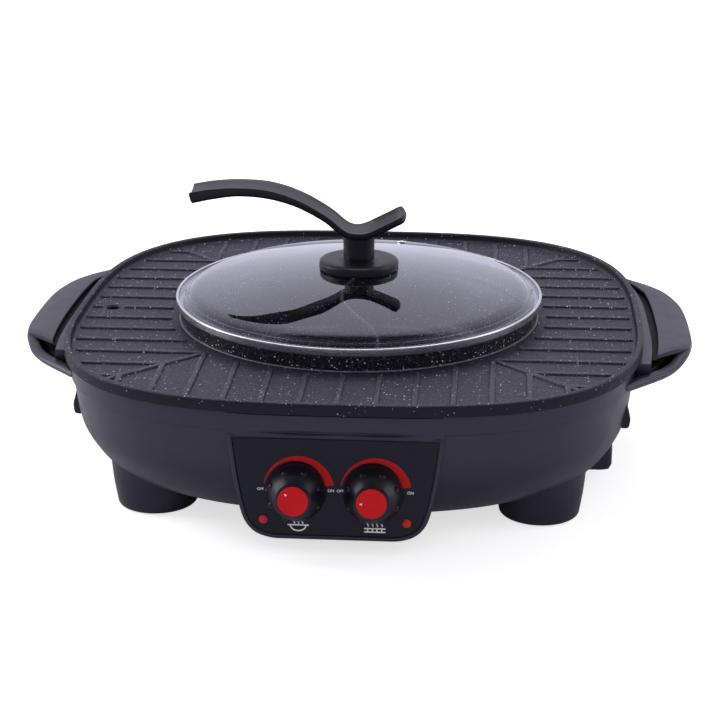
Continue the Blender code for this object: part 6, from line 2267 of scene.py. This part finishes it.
@dataclass
class Studio:
    """The pale floor, the soft lamps, the white surroundings and the camera of the photograph."""

    place: Place
    lens: float = 93.65
    camera_spot: tuple[float, float, float] = (0.11136, -1.46937, 0.59622)
    elevation: float = radians(19.36)
    azimuth: float = radians(4.30)
    floor_half: float = 9.0
    floor_glow: float = 0.66
    floor_unseen: Colour = (0.76, 0.76, 0.79)
    sky_colour: Colour = (0.86, 0.85, 1.0)
    sky_front: float = 0.25
    sky_rear: float = 0.82
    sky_top: float = 0.12
    lamps: tuple[SoftBox, ...] = (
        SoftBox("lamp_top", (0.0, 0.75, 1.8), (1.9, 1.2), 16.0),
        SoftBox("lamp_left", (-1.7, 0.1, 0.9), (0.9, 1.4), 16.0),
        SoftBox("lamp_right", (1.8, 0.1, 0.8), (0.9, 1.4), 6.5),
        SoftBox("lamp_front", (0.3, -1.9, 1.3), (1.6, 1.0), 11.5, mirrored=False),
    )

    def camera(self) -> None:
        """Set the camera where the photograph was taken from."""
        data = bpy.data.cameras.new("view")
        data.lens = self.lens
        data.sensor_width = 36.0
        data.clip_end = 60.0
        obj = bpy.data.objects.new("view", data)
        level = cos(self.elevation)
        back = Vector((sin(self.azimuth) * level, -cos(self.azimuth) * level, sin(self.elevation)))
        spot = Vector(self.camera_spot) + self.place.axis.to_translation()
        obj.rotation_euler = (-back).to_track_quat("-Z", "Y").to_euler()
        obj.location = spot
        bpy.context.scene.collection.objects.link(obj)
        bpy.context.scene.camera = obj

    def floor(self) -> None:
        """Lay the pale floor, which keeps the object's shadow."""
        bm = bmesh.new()
        bmesh.ops.create_grid(bm, x_segments=8, y_segments=8, size=self.floor_half)
        obj = mesh_object("floor", bm, Matrix.Identity(4))
        sheet = NodeSheet("floor_paper")
        pale = sheet.ramp(sheet.noise(3.0), ((0.3, (0.86, 0.86, 0.87)), (0.7, (0.90, 0.90, 0.90))))
        sheet.join(pale, sheet.shader.inputs["Base Color"])
        sheet.sets(Roughness=0.8, Specular_IOR_Level=0.1)
        glow = sheet.add("ShaderNodeEmission")
        glow.inputs["Strength"].default_value = self.floor_glow
        rays = sheet.add("ShaderNodeLightPath")
        lit = sheet.add("ShaderNodeAddShader")
        sheet.join(sheet.shader.outputs["BSDF"], lit.inputs[0])
        sheet.join(glow.outputs["Emission"], lit.inputs[1])
        dull = sheet.add("ShaderNodeBsdfDiffuse")
        dull.inputs["Color"].default_value = (*self.floor_unseen, 1.0)
        mix = sheet.add("ShaderNodeMixShader")
        sheet.join(rays.outputs["Is Camera Ray"], mix.inputs["Fac"])
        sheet.join(dull.outputs["BSDF"], mix.inputs[1])
        sheet.join(lit.outputs["Shader"], mix.inputs[2])
        sheet.join(mix.outputs["Shader"], sheet.output.inputs["Surface"])
        obj.data.materials.append(sheet.material)
        obj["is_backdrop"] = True

    def surroundings(self) -> None:
        """Make the world white to the camera and soft on the object, brighter behind it than before it."""
        world = bpy.data.worlds.new("surroundings")
        world.use_nodes = True
        tree = world.node_tree
        sky = tree.nodes["Background"]
        rays = tree.nodes.new("ShaderNodeLightPath")
        seen = tree.nodes.new("ShaderNodeBackground")
        seen.inputs["Color"].default_value = (1.0, 1.0, 1.0, 1.0)
        mix = tree.nodes.new("ShaderNodeMixShader")
        coords = tree.nodes.new("ShaderNodeTexCoord")
        split = tree.nodes.new("ShaderNodeSeparateXYZ")
        tree.links.new(coords.outputs["Generated"], split.inputs["Vector"])
        share = tree.nodes.new("ShaderNodeMapRange")
        share.interpolation_type = "SMOOTHSTEP"
        zenith = tree.nodes.new("ShaderNodeMapRange")
        ranges = (
            (share, "Y", (-0.5, 0.6, self.sky_front, self.sky_rear)),
            (zenith, "Z", (0.86, 0.93, 1.0, self.sky_top)),
        )
        for node, axis, values in ranges:
            for key, value in zip(("From Min", "From Max", "To Min", "To Max"), values):
                node.inputs[key].default_value = value
            tree.links.new(split.outputs[axis], node.inputs["Value"])
        product = tree.nodes.new("ShaderNodeMath")
        product.operation = "MULTIPLY"
        tree.links.new(share.outputs["Result"], product.inputs[0])
        tree.links.new(zenith.outputs["Result"], product.inputs[1])
        tree.links.new(product.outputs["Value"], sky.inputs["Strength"])
        sky.inputs["Color"].default_value = (*self.sky_colour, 1.0)
        tree.links.new(rays.outputs["Is Camera Ray"], mix.inputs["Fac"])
        tree.links.new(sky.outputs["Background"], mix.inputs[1])
        tree.links.new(seen.outputs["Background"], mix.inputs[2])
        tree.links.new(mix.outputs["Shader"], tree.nodes["World Output"].inputs["Surface"])
        bpy.context.scene.world = world

    def build(self, glass: bpy.types.Object) -> None:
        """Set up the camera, the floor, the world and the lamps.

        Args:
            glass: The lid's glass, which mirrors the surroundings and none of the lamps.
        """
        self.camera()
        self.floor()
        self.surroundings()
        spared = bpy.data.collections.new("not_lit_by_lamps")
        spared.objects.link(glass)
        for entry in spared.collection_objects:
            entry.light_linking.link_state = "EXCLUDE"
        for lamp in self.lamps:
            lamp.build(spared)
        bpy.context.scene.view_settings.view_transform = "Standard"


def write_sizes() -> None:
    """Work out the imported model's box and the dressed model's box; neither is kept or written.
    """
    boxes = {"cad": CAD_BOX, "visual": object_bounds()}
    {key: [list(corner) for corner in box] for key, box in boxes.items()}


def main() -> None:
    """Build the cooker's pieces in order, then the studio, and work out the sizes."""
    logging.basicConfig(level=logging.INFO, format="%(name)s: %(message)s")
    place = Place.from_frame()
    housing = Housing(place)
    housing.build()
    GrillPlate(place).build()
    HotPot(place).build()
    glass = Lid(place).build()
    for hand in Hand:
        SideHandle(hand, place, housing).build()
    ControlPanel(place, housing).build()
    for hand in Hand:
        Knob(hand, place).build()
    CarriedNodes().build()
    Studio(place).build(glass)
    write_sizes()


if __name__ == "__main__":
    main()
